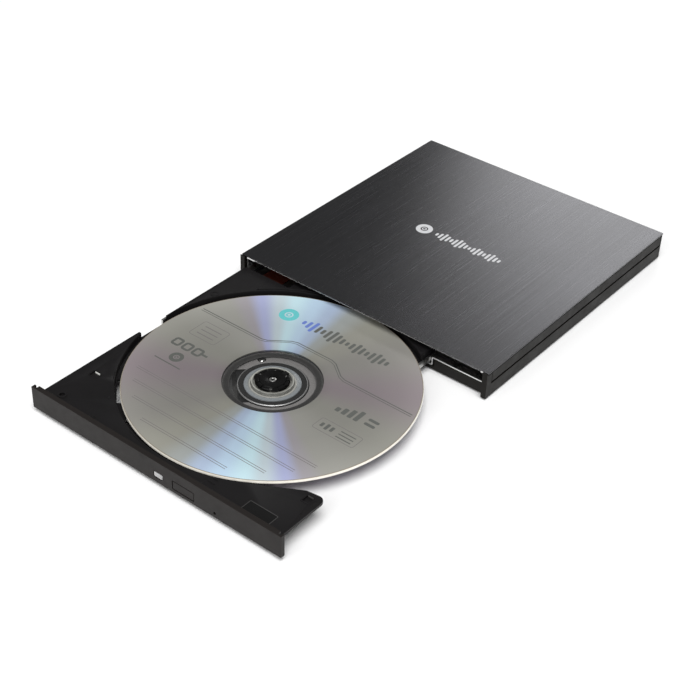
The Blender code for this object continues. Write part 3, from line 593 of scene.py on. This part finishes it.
def skin(bm, rows, looped=True, closed=True):
    """Faces from each row of points to the next. Looped rows meet again, and others get end caps."""
    count = len(rows[0])
    for row, ahead in zip(rows, rows[1:] + rows[:1] if looped else rows[1:]):
        for index in range(count if closed else count - 1):
            following = (index + 1) % count
            bm.faces.new((row[index], ahead[index], ahead[following], row[following]))
    if not looped:
        bm.faces.new(rows[0])
        bm.faces.new(rows[-1][::-1])


def lathe(bm, profile, steps=128, closed=True, centre=(0.0, 0.0)):
    """Turns a profile of (radius, z) points about an upright axis."""
    rows = [spoke(bm, profile, math.tau * step / steps, centre=centre) for step in range(steps)]
    skin(bm, rows, closed=closed)
    bmesh.ops.remove_doubles(bm, verts=bm.verts, dist=1e-5)
    return bm


def ring(inner, outer, low, high):
    """The profile of a flat ring."""
    return (inner, high), (outer, high), (outer, low), (inner, low)


def turned(name, profile, finish, body, place=None, steps=128, closed=True):
    return add_piece(name, lathe(bmesh.new(), profile, steps, closed), finish, body, place)


def prism(bm, outline, low, high):
    """A flat outline with straight sides from low to high."""
    bottom = [bm.verts.new((x, y, low)) for x, y in outline]
    top = [bm.verts.new((x, y, high)) for x, y in outline]
    bm.faces.new(bottom[::-1])
    bm.faces.new(top)
    for index in range(len(outline)):
        following = (index + 1) % len(outline)
        bm.faces.new((bottom[index], bottom[following], top[following], top[index]))
    return bm


def block(bm, xs, ys, zs):
    return prism(bm, ((xs[0], ys[0]), (xs[1], ys[0]), (xs[1], ys[1]), (xs[0], ys[1])), *zs)


def round_box(xs, ys, radius, steps=5):
    """A rectangle's outline with round corners."""
    centres = ((xs[1] - radius, ys[0] + radius, -90), (xs[1] - radius, ys[1] - radius, 0),
               (xs[0] + radius, ys[1] - radius, 90), (xs[0] + radius, ys[0] + radius, 180))
    points = []
    for x, y, start in centres:
        for step in range(steps + 1):
            angle = math.radians(start + 90 * step / steps)
            points.append((x + radius * math.cos(angle), y + radius * math.sin(angle)))
    return points


def absorb(bm, part, turn, axis):
    """Adds part to bm, turned in degrees about an axis through the origin."""
    bmesh.ops.rotate(part, matrix=Matrix.Rotation(math.radians(turn), 3, axis), verts=part.verts)
    mesh = bpy.data.meshes.new("part")
    part.to_mesh(mesh)
    part.free()
    bm.from_mesh(mesh)
    bpy.data.meshes.remove(mesh)


def ribbon(bm, points, width, low, high):
    """A flat band of even width along a line of points."""
    return prism(bm, band_outline(points, width), low, high)


def arc(radius, start, end, steps=24, centre=(0.0, 0.0)):
    angles = [math.radians(start + (end - start) * step / steps) for step in range(steps + 1)]
    return [(centre[0] + radius * math.cos(a), centre[1] + radius * math.sin(a)) for a in angles]


def drum(bm, centre, radius, low, high, steps=32):
    return prism(bm, arc(radius, 0, 360 - 360 / steps, steps - 1, centre), low, high)


# ---- rounded copies of the frame's own pieces -------------------------------

ROUNDED = (
    ("top_plate", ANODISED, 0.12), ("lower_shell", SIDE, 0.22), ("upper_shell", SIDE, 0.18),
    ("drive_pan", STEEL, 0.08), ("drive_top_cover", STEEL, 0.10),
    ("left_guide", INNER, 0.10), ("right_guide", INNER, 0.10), ("left_rail", STEEL, 0.14),
    ("right_rail", STEEL, 0.14), ("main_board", BOARD, 0.05), ("main_chip", CHIP, 0.10),
    ("flex_socket", INNER, 0.10), ("flex_cable", FLEX, 0.04),
    ("drive_connector", INNER, 0.15), ("bridge_connector", INNER, 0.15),
    ("bridge_board", BOARD, 0.05), ("bridge_chip", CHIP, 0.08),
    ("bridge_inductor", CHIP, 0.20), ("usb_socket", STEEL, 0.06),
    ("latch_post", STEEL, 0.10), ("tray_body", TRAY, 0.16), ("front_bezel", BEZEL, 0.22),
    ("eject_button", BEZEL, 0.16), ("front_board", BOARD, 0.05),
    ("button_switch", CHIP, 0.08), ("led_lens", LAMP, 0.10),
    ("tray_bottom_cover", STEEL, 0.08), ("latch_lever", INNER, 0.10),
    ("latch_solenoid", COPPER, 0.15), ("solenoid_plunger", STEEL, 0.10),
    ("deck_cover", DECK, 0.07), ("traverse_frame", INNER, 0.12),
    ("main_guide_rod", BRIGHT_STEEL, 0.10), ("second_guide_rod", BRIGHT_STEEL, 0.10),
    ("stepper_motor", STEEL, 0.15), ("pickup_sled", CAST, 0.15),
    ("lens_holder", CHIP, 0.15), ("spindle_base", STEEL, 0.06),
    ("spindle_stator", COPPER, 0.10), ("rotor_can", STEEL, 0.10),
    ("rubber_ring", RUBBER, 0.12))


def make_rounded_copies():
    for node, finish, width in ROUNDED:
        rounded_copy(node, finish, width)


# ---- disc ----------------------------------------------------------------

FINE_STEPS = 192


def turned_on_disc(name, profile, finish, steps=128):
    return turned(name, profile, finish, "rotor", DISC, steps)


def make_disc():
    """The label and the recorded side meet inside the clear plastic of the hub area and the edge."""
    top, low = DISC_TOP, DISC_BOTTOM
    middle = (top + low) / 2
    turned_on_disc("disc_label", ring(LABEL_INNER, LABEL_OUTER, middle, top), LABEL, FINE_STEPS)
    turned_on_disc("disc_data_side", ring(LABEL_INNER, LABEL_OUTER, low, middle), MIRROR, FINE_STEPS)
    edge = ((LABEL_OUTER + 0.02, top - 0.03), (LABEL_OUTER + 0.1, top), (WALL_INNER, top),
            (59.8, top - 0.25), (59.93, top - 0.6), (EDGE_RADIUS, top - 0.85), (EDGE_RADIUS, low + 0.15),
            (59.9, low + 0.08), (59.72, low), (LABEL_OUTER + 0.02, low))
    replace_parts(turned_on_disc("disc_edge", edge, EDGE, FINE_STEPS), "optical_disc")
    band = ring(BAND_INNER, LABEL_INNER - 0.04, low + 0.02, low + 0.12)
    turned_on_disc("disc_mirror_band", band, BAND)
    inner, outer = RIM_OUTER + 0.02, LABEL_INNER - 0.02
    clear = ((inner, top - 0.02), (outer, top - 0.02), (outer, low + 0.14),
             (BAND_INNER - 0.04, low + 0.14), (BAND_INNER - 0.06, low + 0.02), (inner, low + 0.02))
    turned_on_disc("disc_clear_ring", clear, CLEAR)
    hole = ((HOLE_RADIUS, top - 0.30), (HOLE_RADIUS + 0.12, top - 0.06), (7.95, top),
            (8.1, top - 0.05), (8.25, top - 0.05), (RIM_OUTER, top), (RIM_OUTER, low), (7.7, low),
            (HOLE_RADIUS, low + 0.15))
    turned_on_disc("disc_hole_rim", hole, HOLE_RIM)


PRINT_HEIGHT = 0.012
STEP_LINE = ((-54.6, 18.0), (-21.8, 18.0), (-19.4, 18.8), (-11.4, 24.9), (-8.8, 25.8), (9.2, 25.8),
             (12.0, 24.9), (18.6, 19.9), (21.4, 19.0), (54.9, 19.0))
STEP_GAP = 1.15
WRITE_LINES = (-28.0, -35.0, -42.5, -50.2)
WRITE_GAP = 1.1
WRITE_RADIUS = 55.2
WAVE = (2.6, 4.8, 7.4, 5.2, 3.4, 5.8, 8.2, 6.2, 4.0, 2.6, 4.4, 6.8, 5.0, 3.2, 5.4, 7.2, 4.6, 2.8)
WAVE_START = -16.8
WAVE_PITCH = 2.55
SIGN_Y = 38.4


def disc_sign(bm, centre, radius, low, high):
    """A ring with a small ring inside it."""
    for inner, outer, steps in ((0.45, 1.0, 64), (0.16, 0.29, 48)):
        lathe(bm, ring(radius * inner, radius * outer, low, high), steps, True, centre)


def wave_bars(bm, start, middle, pitch, width, scale, low, high, chosen=WAVE):
    """Upright rounded bars of changing height, like the level of a sound."""
    for index, tall in enumerate(chosen):
        x, half = start + pitch * index, tall * scale / 2
        prism(bm, round_box((x, x + width), (middle - half, middle + half), width * 0.45), low, high)


def make_disc_prints():
    """Plain bars, boxes and a disc sign in place of words, and the lines to write on."""
    low, high = DISC_TOP - 0.002, DISC_TOP + PRINT_HEIGHT
    bm = bmesh.new()
    ribbon(bm, STEP_LINE, 0.45, low, high)
    ribbon(bm, [(x, y - STEP_GAP) for x, y in STEP_LINE], 0.30, low, high)
    on_disc("disc_step_lines", bm, INK)
    bm = bmesh.new()
    for y in WRITE_LINES:
        for line in (y, y - WRITE_GAP):
            reach = math.sqrt(WRITE_RADIUS ** 2 - y ** 2) - 1.0
            ribbon(bm, ((-reach, line), (reach, line)), 0.24, low, high)
    on_disc("disc_write_lines", bm, FAINT_INK)

    bm = bmesh.new()
    disc_sign(bm, (-24.6, SIGN_Y), 4.3, low, high)
    on_disc("disc_main_sign", bm, TEAL_INK)
    bm = bmesh.new()
    wave_bars(bm, WAVE_START, SIGN_Y, WAVE_PITCH, 1.5, 1.0, low, high, WAVE[:3])
    on_disc("disc_wave_start", bm, BLUE_INK)
    bm = bmesh.new()
    wave_bars(bm, WAVE_START + WAVE_PITCH * 3, SIGN_Y, WAVE_PITCH, 1.5, 1.0, low, high, WAVE[3:])
    on_disc("disc_wave_end", bm, INK)

    bm = bmesh.new()
    for x in (-48.6, -43.0, -37.4):
        outline = round_box((x + 0.6, x + 4.2), (-8.0, -4.0), 0.9)
        ribbon(bm, outline + outline[:1], 1.15, low, high)
    ribbon(bm, ((-32.6, -6.0), (-29.8, -6.0)), 1.1, low, high)
    disc_sign(bm, (-39.2, -14.0), 3.1, low, high)
    ribbon(bm, ((-46.5, -19.0), (-32.5, -19.0)), 0.55, low, high)
    for index, tall in enumerate((2.6, 3.9, 5.2, 6.6)):
        x = 30.0 + index * 3.0
        prism(bm, round_box((x, x + 2.0), (1.6, 1.6 + tall), 0.5), low, high)
    for y in (5.3, 2.4):
        prism(bm, round_box((43.8, 48.8), (y, y + 1.5), 0.6), low, high)
    on_disc("disc_side_marks", bm, INK)

    bm = bmesh.new()
    for outline in (round_box((-47.5, -33.5), (1.5, 12.0), 1.2),
                    round_box((29.8, 49.6), (-11.6, -4.6), 1.0)):
        ribbon(bm, outline + outline[:1], 0.22, low, high)
    for y in (4.0, 6.6, 9.2):
        ribbon(bm, ((-45.0, y), (-36.0, y)), 0.45, low, high)
    on_disc("disc_faint_marks", bm, FAINT_INK)
    bm = bmesh.new()
    for index, tall in enumerate((2.4, 3.6, 2.8)):
        x = index * 2.4
        outline = round_box((31.6 + x, 33.0 + x), (-8.1 - tall / 2, -8.1 + tall / 2), 0.4)
        prism(bm, outline, low, high)
    for y in (-10.2, -8.4, -6.6):
        ribbon(bm, ((40.4, y), (47.6, y)), 0.5, low, high)
    on_disc("disc_box_marks", bm, INK)


# ---- spindle, hub and pickup ---------------------------------------------

PETALS = 12
PETAL_STEPS = 6
CLAW_ANGLES = (80.0, 200.0, 320.0)
CLAW_ROOM = 11.0
CLAW_NOSE = 7.0
CLAW_DROP = 0.28
SHAFT_LOW = 7.3


def make_turntable():
    low, high = span("turntable")
    profile = ((2.2, 7.4), (8.5, 7.4), (8.6, 7.3), (8.8, 7.3), (8.9, 7.42), (9.5, 7.42),
               (9.6, 7.36), (11.2, 7.36), (11.5, 7.28), (11.62, 7.1), (11.62, low.z + 0.1),
               (11.5, low.z), (2.2, low.z))
    table = turned("turntable_disc", profile, TABLE, "rotor", DISC)
    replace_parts(table, "turntable")
    # A thin ring of near-white metal that stays bright all the way round: painted highlight
    rim = ((13.7, 7.2), (13.92, 7.2), (14.16, 6.97), (14.16, 6.86), (13.7, 6.86))
    turned("turntable_rim", rim, EDGE_HIGHLIGHT_METAL, "rotor", DISC)
    top = high.z
    tip = ((0.62, top - 0.5), (0.66, top - 0.06), (0.74, top), (1.28, top), (1.44, top - 0.08),
           (1.5, top - 0.4), (1.5, SHAFT_LOW), (0.62, SHAFT_LOW))
    turned("spindle_tip", tip, STEEL, "rotor", DISC, 64)
    # A black plug sunk in the spindle tip's bore: painted shade for the dark hole
    core = ((0.0, top - 0.42), (0.4, top - 0.44), (0.6, top - 0.52), (0.6, SHAFT_LOW), (0.0, SHAFT_LOW))
    turned("spindle_bore_shade", core, HUB_PLASTIC, "rotor", DISC, 48, False)


def make_hub():
    """A crowned cap whose rim is split into sprung petals, with a slot for each claw."""
    low, high = span("hub")
    top, foot = high.z, low.z + 0.1
    cap = ((1.8, top - 0.25), (2.1, top - 0.12), (4.0, top - 0.10), (4.9, top - 0.02), (5.3, top - 0.02),
           (5.5, top - 0.3), (5.5, foot), (1.8, foot))
    shape = turned("hub_cap", cap, HUB_PLASTIC, "rotor", DISC, 96)
    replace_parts(shape, "hub")
    wall = ((5.56, top - 0.10), (6.2, top), (6.7, top - 0.08), (7.0, top - 0.35), (7.12, top - 0.7),
            (7.1, top - 1.1), (6.85, top - 1.5), (6.6, foot), (5.56, foot))
    bm = bmesh.new()
    gap = math.radians(4.0)
    step = math.tau / PETALS
    for petal in range(PETALS):
        middle = step * (petal + 0.5)
        facing = math.degrees(middle)
        if min(abs((facing - claw + 180) % 360 - 180) for claw in CLAW_ANGLES) < CLAW_ROOM:
            continue
        shares = [part / PETAL_STEPS - 0.5 for part in range(PETAL_STEPS + 1)]
        skin(bm, [spoke(bm, wall, middle + share * (step - gap)) for share in shares], looped=False)
    soften(add_piece("hub_petals", bm, HUB_PLASTIC, "rotor", DISC), 0.08)
    spring = ((5.52, top - 0.55), (6.3, top - 0.55), (6.5, low.z + 0.5), (6.5, foot), (5.52, foot))
    turned("hub_spring_ring", spring, BRIGHT_STEEL, "rotor", DISC, 96)
    bm = bmesh.new()
    for x, y in arc(3.3, 12, 312, 5):
        drum(bm, (x, y), 0.28, top - 0.13, top - 0.05, 20)
    add_piece("hub_rivets", bm, GLOSS, "rotor", DISC)


def make_claws():
    """Each claw is a sprung wedge whose nose laps over the hole's edge."""
    for index, degrees in enumerate(CLAW_ANGLES):
        node = f"hub_claw_{index + 1}"
        low, high = span(node)
        outline = arc(7.75, -9, 9, 8) + arc(4.35, 13, -13, 8)
        bm = prism(bmesh.new(), outline, low.z - 0.05, high.z)
        for vert in bm.verts:
            if vert.co.z > low.z and math.hypot(vert.co.x, vert.co.y) > CLAW_NOSE:
                vert.co.z -= CLAW_DROP
        bmesh.ops.rotate(bm, matrix=Matrix.Rotation(math.radians(degrees), 3, 'Z'), verts=bm.verts)
        claw = add_piece(f"claw_{index + 1}_wedge", bm, HUB_PLASTIC, BODY_OF[node],
                         DISC)
        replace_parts(soften(claw, 0.1), node)


def make_screws():
    """The deck's screws: low heads, each with a flat black cross on top, painted shade for a cross-head
    slot.
    """
    radius = 1.5
    for index in range(3):
        node = f"deck_screw_{index + 1}"
        name, body = f"deck_screw_head_{index + 1}", BODY_OF[node]
        _, high, centre = span_and_centre(node)
        top = high.z
        profile = ((0.0, top - 0.02), (radius * 0.55, top - 0.01), (radius * 0.85, top - 0.08),
                   (radius, top - 0.28), (radius, top - 0.55), (0.0, top - 0.55))
        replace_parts(turned(name, profile, BRIGHT_STEEL, body, centre, 48, False), node)
        # a flat black cross on the head: painted shade for the cross-head slot
        cross = bmesh.new()
        reach, half = radius * 0.58, radius * 0.13
        for turn in (20, 110):
            arm = block(bmesh.new(), (-reach, reach), (-half, half), (top - 0.005, top + 0.015))
            absorb(cross, arm, turn, 'Z')
        add_piece(f"{name}_recess_shade", cross, GLOSS, body, centre)


def make_case_screws():
    """Screws driven up from below, each head with a flat black cross on it, painted shade for a cross-head
    slot.
    """
    for side in ("left", "right"):
        node = f"case_screw_{side}"
        low, high, centre = span_and_centre(node)
        head = (high.x - low.x) / 2
        profile = ((0.0, high.z), (0.6, high.z), (0.88, high.z - 0.5), (0.88, low.z + 0.85),
                   (head - 0.05, low.z + 0.8), (head, low.z + 0.4), (head * 0.86, low.z + 0.1),
                   (head * 0.5, low.z + 0.02), (0.0, low.z + 0.02))
        shape = turned(f"{node}_body", profile, BRIGHT_STEEL, "root", centre, 48, False)
        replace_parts(shape, node)
        # a flat black cross on the head: painted shade for the cross-head slot
        bm = bmesh.new()
        arm, half = head * 0.6, head * 0.14
        for xs, ys in (((-arm, arm), (-half, half)), ((-half, half), (-arm, -half - 0.01)),
                       ((-half, half), (half + 0.01, arm))):
            block(bm, xs, ys, (low.z + 0.005, low.z + 0.04))
        add_piece(f"{node}_recess_shade", bm, GLOSS, "root", centre)


def make_lens():
    low, high, centre = span_and_centre("objective_lens")
    rise = high.z - low.z
    angles = [math.radians(9 * step) for step in range(11)]
    dome = [(1.55 * math.sin(angle), low.z + rise * math.cos(angle)) for angle in angles]
    profile = dome + [(1.7, low.z), (0.0, low.z)]
    shape = turned("lens_dome", profile, GLASS, "lens", centre, 64, False)
    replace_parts(shape, "objective_lens")
    barrel = ring(1.62, 2.3, low.z - 0.3, low.z + 0.12)
    soften(turned("lens_barrel", barrel, BRIGHT_STEEL, "lens", centre, 64), 0.04)


SCREW_PITCH = 3.0
SCREW_RADIUS = 0.75
THREAD_TURNS = 17
THREAD_SIDES = 18
THREAD = ((0.45, -0.42), (0.74, -0.2), (0.74, 0.2), (0.45, 0.42))


def make_lead_screw():
    """A rod with a raised thread that the pickup's tooth follows."""
    low, high = span("lead_screw")
    level = (low.z + high.z) / 2
    near = Vector((high.x - SCREW_RADIUS, high.y - SCREW_RADIUS, level))
    far = Vector((low.x + SCREW_RADIUS, low.y + SCREW_RADIUS, level))
    run = far - near
    length = run.length
    core = ((0.0, 0.0), (0.5, 0.02), (0.52, 0.1), (0.52, length - 0.1), (0.5, length), (0.0, length))
    bm = lathe(bmesh.new(), core, 24, False)
    start = (length - SCREW_PITCH * THREAD_TURNS) / 2
    rows = [spoke(bm, THREAD, math.tau * step / THREAD_SIDES, start + SCREW_PITCH * step / THREAD_SIDES)
            for step in range(THREAD_TURNS * THREAD_SIDES + 1)]
    skin(bm, rows, looped=False)
    bmesh.ops.rotate(bm, matrix=run.to_track_quat('Z', 'Y').to_matrix(), verts=bm.verts)
    shape = add_piece("threaded_screw", bm, BRIGHT_STEEL, "lead_screw", near)
    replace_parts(shape, "lead_screw")


# ---- tray details --------------------------------------------------------

# Each ridge's start and end in degrees, its radius, its width and its height over the tray
RIDGES = (
    (217.0, 221.5, 62.35, 0.5, 0.10), (252.0, 265.2, 62.35, 0.45, 0.10),
    (112.5, 137.5, 63.3, 1.1, 0.35), (146.0, 160.0, 62.4, 0.5, 0.08),
    (232.0, 243.0, 62.35, 0.35, 0.06))
PINS = ((-39.6, -50.4, 0.55), (-35.1, -62.7, 0.6), (-10.0, -64.0, 0.4), (59.0, -52.0, 0.45))
TRAVEL_ANGLE = math.radians(225.0)


def make_tray_details():
    """Ridges, bosses, frames and clips on the tray, with a grey strip on the lobe hole's rear edge as a
    painted highlight, and a sheet over the lead screw's far end that puts painted shade over the floor
    seen through there.
    """
    top = TRAY_TOP
    bm = bmesh.new()
    for start, end, radius, width, rise in RIDGES:
        ribbon(bm, arc(radius, start, end), width, top - 0.2, top + rise)
    soften(on_tray("well_rim_ridges", bm, TRAY), 0.08)
    bm = bmesh.new()
    sunk = top - 0.1
    for inner, outer, foot, rise, centre in ((1.15, 1.9, 2.05, 0.22, (-54.3, -61.3)),
                                             (1.3, 1.75, 1.85, 0.12, (-57.6, 28.1))):
        profile = ((inner, top + rise), (outer, top + rise), (foot, sunk), (inner, sunk))
        lathe(bm, profile, 40, True, centre)
    for x, y, radius in PINS:
        profile = ((0.0, top + 0.28), (radius * 0.6, top + 0.22), (radius, sunk), (0.0, sunk))
        lathe(bm, profile, 24, False, (x, y))
    for x, y, length in ((22.2, -60.8, 3.4), (22.8, -58.6, 2.2)):
        block(bm, (x, x + length), (y, y + 0.4), (top - 0.1, top + 0.12))
    on_tray("tray_bosses", bm, TRAY)
    # A sheet of tray plastic over the lead screw's far channel, put there as painted shade to hide the
    # floor seen through the gap
    bm = prism(bmesh.new(), round_box((55.8, 62.6), (15.6, 18.2), 0.2), 6.15, 6.38)
    bmesh.ops.rotate(bm, matrix=Matrix.Rotation(TRAVEL_ANGLE, 3, 'Z'), verts=bm.verts)
    on_tray("screw_channel_shade_sheet", bm, TRAY)
    bm = prism(bmesh.new(), round_box((41.4, 53.8), (-63.5, -58.8), 0.3), top - 0.05, top + 0.03)
    on_tray("tray_gloss_patch", bm, GLOSS)
    bm = bmesh.new()
    patch = round_box((41.1, 54.1), (-63.8, -58.5), 0.4)
    ribbon(bm, patch + patch[:1], 0.28, top - 0.1, top + 0.06)
    on_tray("tray_patch_frame", bm, WORN_AND_HIGHLIGHT)
    bm = bmesh.new()
    for outline in (round_box((54.1, 58.1), (-46.9, -42.5), 0.5),
                    round_box((-56.6, -52.1), (-45.9, -42.3), 0.4)):
        ribbon(bm, outline + outline[:1], 0.35, top - 0.1, top + 0.05)
    on_tray("tray_frames", bm, TRAY)
    bm = bmesh.new()
    block(bm, (-55.4, -52.9), (-42.98, -42.6), (top - 0.6, top + 0.10))
    soften(on_tray("tray_hook_clip", bm, CLIP), 0.08)
    # A grey strip on the lobe hole's rear edge: painted highlight
    bm = bmesh.new()
    block(bm, (54.9, 57.3), (-43.3, -42.9), (top - 0.5, top + 0.04))
    soften(on_tray("tray_lobe_highlight_strip", bm, WORN_AND_HIGHLIGHT), 0.08)


# ---- casing details ------------------------------------------------------

def make_lid_mark():
    """A plain disc sign and level bars."""
    low, high = LID_TOP - 0.002, LID_TOP - 0.002 + PRINT_HEIGHT
    bm = bmesh.new()
    disc_sign(bm, (-18.2, 61.6), 3.9, low, high)
    wave_bars(bm, -11.6, 61.6, 1.98, 1.15, 0.86, low, high)
    add_piece("lid_mark", bm, LID_INK, "root")


def standing(bm, outline, near, far):
    """A flat outline in X and Z, with thickness from near to far along Y."""
    absorb(bm, prism(bmesh.new(), outline, -far, -near), 90, 'X')


def band_outline(points, width):
    """The outline of a band of even width along a line of points."""
    sides = ([], [])
    for index, point in enumerate(points):
        before, after = points[max(index - 1, 0)], points[min(index + 1, len(points) - 1)]
        ahead = (Vector(after) - Vector(before)).normalized()
        across = Vector((-ahead.y, ahead.x)) * width / 2
        sides[0].append(tuple(Vector(point) + across))
        sides[1].append(tuple(Vector(point) - across))
    return sides[1] + sides[0][::-1]


def make_mouth_edges():
    """Bright cut edges round the mouth: the drive pan's front edge and the lid's front chamfer, in
    near-white finishes that are bare metal in part and painted highlight in part.
    """
    low, high = span("drive_pan")
    front = low.y
    sheet, step, shelf = 0.45, 37.72, 6.48
    right = high.x - sheet / 2
    bm = bmesh.new()
    left, floor = low.x + 0.23, low.z + 0.23
    line = ((left, high.z), (left, low.z + 0.7), (low.x + 0.7, floor), (-50.0, floor), (20.0, floor),
            (step - 0.4, floor), (step, low.z + 0.6), (step, shelf - 0.4), (step + 0.4, shelf),
            (right - 0.4, shelf), (right, shelf + 0.4), (right, high.z))
    standing(bm, band_outline(line, sheet + 0.06), front - 0.14, front + 0.02)
    soften(add_piece("pan_front_edge", bm, EDGE_HIGHLIGHT_METAL, "root"), 0.1)
    lid_front = span("top_plate")[0].y
    bm = bmesh.new()
    profile = ((lid_front - 0.03, LID_TOP - 0.44), (lid_front + 0.30, LID_TOP + 0.004),
               (lid_front + 0.36, LID_TOP - 0.4))
    ends = [[bm.verts.new((x, y, z)) for y, z in profile] for x in (-62.6, 61.4)]
    for index in range(3):
        following = (index + 1) % 3
        bm.faces.new((ends[0][index], ends[0][following], ends[1][following], ends[1][index]))
    bm.faces.new(ends[0][::-1])
    bm.faces.new(ends[1])
    add_piece("lid_front_chamfer", bm, CHAMFER_HIGHLIGHT, "root")
    bm = bmesh.new()
    for first, last in ((-62.6, -58.2), (62.1, 63.5)):
        block(bm, (first, last), (lid_front - 0.06, lid_front + 0.5), (LID_TOP - 0.95, LID_TOP - 0.25))
    soften(add_piece("mouth_tabs", bm, EDGE_HIGHLIGHT_METAL, "root"), 0.12)


def make_socket_tongue():
    """The black blade inside the inlet, with a row of contacts on each face."""
    low, high, centre = span_and_centre("usb_socket")
    middle_x, middle_z = centre.x, (low.z + high.z) / 2
    half_x, half_z = 3.4, 0.43
    bm = bmesh.new()
    blade = round_box((middle_x - half_x, middle_x + half_x), (middle_z - half_z, middle_z + half_z), 0.15)
    standing(bm, blade, high.y - 6.2, high.y - 0.82)
    add_piece("socket_blade", bm, INNER, "root")
    bm = bmesh.new()
    for face in (middle_z - half_z - 0.02, middle_z + half_z - 0.02):
        for index in range(12):
            x = middle_x + (index - 5.5) * 0.5
            block(bm, (x - 0.13, x + 0.13), (high.y - 4.4, high.y - 1.2), (face, face + 0.04))
    add_piece("socket_contacts", bm, GOLD, "root")


def make_feet():
    for index in range(4):
        node = f"rubber_foot_{index + 1}"
        low, high, centre = span_and_centre(node)
        radius = (high.x - low.x) / 2
        profile = ((0.0, high.z), (radius, high.z), (radius, 0.4), (radius - 0.12, 0.12),
                   (radius - 0.45, 0.0), (radius * 0.74, 0.0), (radius * 0.68, 0.1),
                   (radius * 0.62, 0.0), (0.0, 0.0))
        foot = turned(f"foot_pad_{index + 1}", profile, RUBBER, "root", centre, 64, False)
        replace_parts(foot, node)


# ---- stage ---------------------------------------------------------------

# The camera, as solved from the photo, in metres
AIM = Vector((0.0110, -0.0283, 0.0086))
AZIMUTH = math.radians(37.55)
ELEVATION = math.radians(36.44)
ROLL = math.radians(2.275)
DISTANCE = 0.5978
LENS = 75.39
# Each lamp's place, size, power in watts, and turn about its own axis in degrees
LAMPS = (
    ("back_panel", (-0.462, 1.229, 0.724), (0.52, 0.32), 1.9, -38.0),
    ("front_panel", (0.1, -1.4, 0.9), (1.2, 1.0), 9.0, 0.0))
SKY = 0.17
SUN_WAY = (0.28, -0.26, 1.0)
SUN_SPREAD = 42.0
SUN_POWER = 2.9


def make_camera():
    back = Vector((math.sin(AZIMUTH) * math.cos(ELEVATION), -math.cos(AZIMUTH) * math.cos(ELEVATION),
                   math.sin(ELEVATION)))
    data = bpy.data.cameras.new("camera")
    data.lens = LENS
    data.sensor_width = 36.0
    data.clip_start = 0.01
    camera = bpy.data.objects.new("camera", data)
    camera.location = AIM + back * DISTANCE
    camera.rotation_mode = 'QUATERNION'
    camera.rotation_quaternion = (-back).to_track_quat('-Z', 'Y') @ Quaternion((0, 0, 1), ROLL)
    SCENE.collection.objects.link(camera)
    SCENE.camera = camera


def aim_lamp(lamp, place, roll=0.0):
    """Puts the lamp in its place, pointing at the object and rolled about its own axis."""
    lamp.location = place
    lamp.rotation_mode = 'QUATERNION'
    facing = (-Vector(place)).to_track_quat('-Z', 'Y')
    lamp.rotation_quaternion = facing @ Quaternion((0.0, 0.0, 1.0), math.radians(roll))
    SCENE.collection.objects.link(lamp)


def make_stage():
    bm = bmesh.new()
    bmesh.ops.create_grid(bm, x_segments=1, y_segments=1, size=4.0)
    mesh = bpy.data.meshes.new("floor")
    bm.to_mesh(mesh)
    bm.free()
    mesh.materials.append(floor_paint())
    floor = bpy.data.objects.new("floor", mesh)
    SCENE.collection.objects.link(floor)
    world = bpy.data.worlds.new("studio")
    world.use_nodes = True
    world.node_tree.nodes["Background"].inputs["Color"].default_value = grey(1.0)
    world.node_tree.nodes["Background"].inputs["Strength"].default_value = SKY
    SCENE.world = world
    for name, place, size, power, roll in LAMPS:
        data = bpy.data.lights.new(name, 'AREA')
        data.shape = 'RECTANGLE'
        data.size, data.size_y = size
        data.energy = power
        aim_lamp(bpy.data.objects.new(name, data), place, roll)
    data = bpy.data.lights.new("overhead", 'SUN')
    data.angle = math.radians(SUN_SPREAD)
    data.energy = SUN_POWER
    aim_lamp(bpy.data.objects.new("overhead", data), SUN_WAY)
    SCENE.view_settings.view_transform = 'Standard'


make_camera()
make_stage()
make_rounded_copies()
make_disc()
make_disc_prints()
make_turntable()
make_hub()
make_claws()
make_screws()
make_case_screws()
make_lens()
make_lead_screw()
make_tray_details()
make_lid_mark()
make_mouth_edges()
make_socket_tongue()
make_feet()
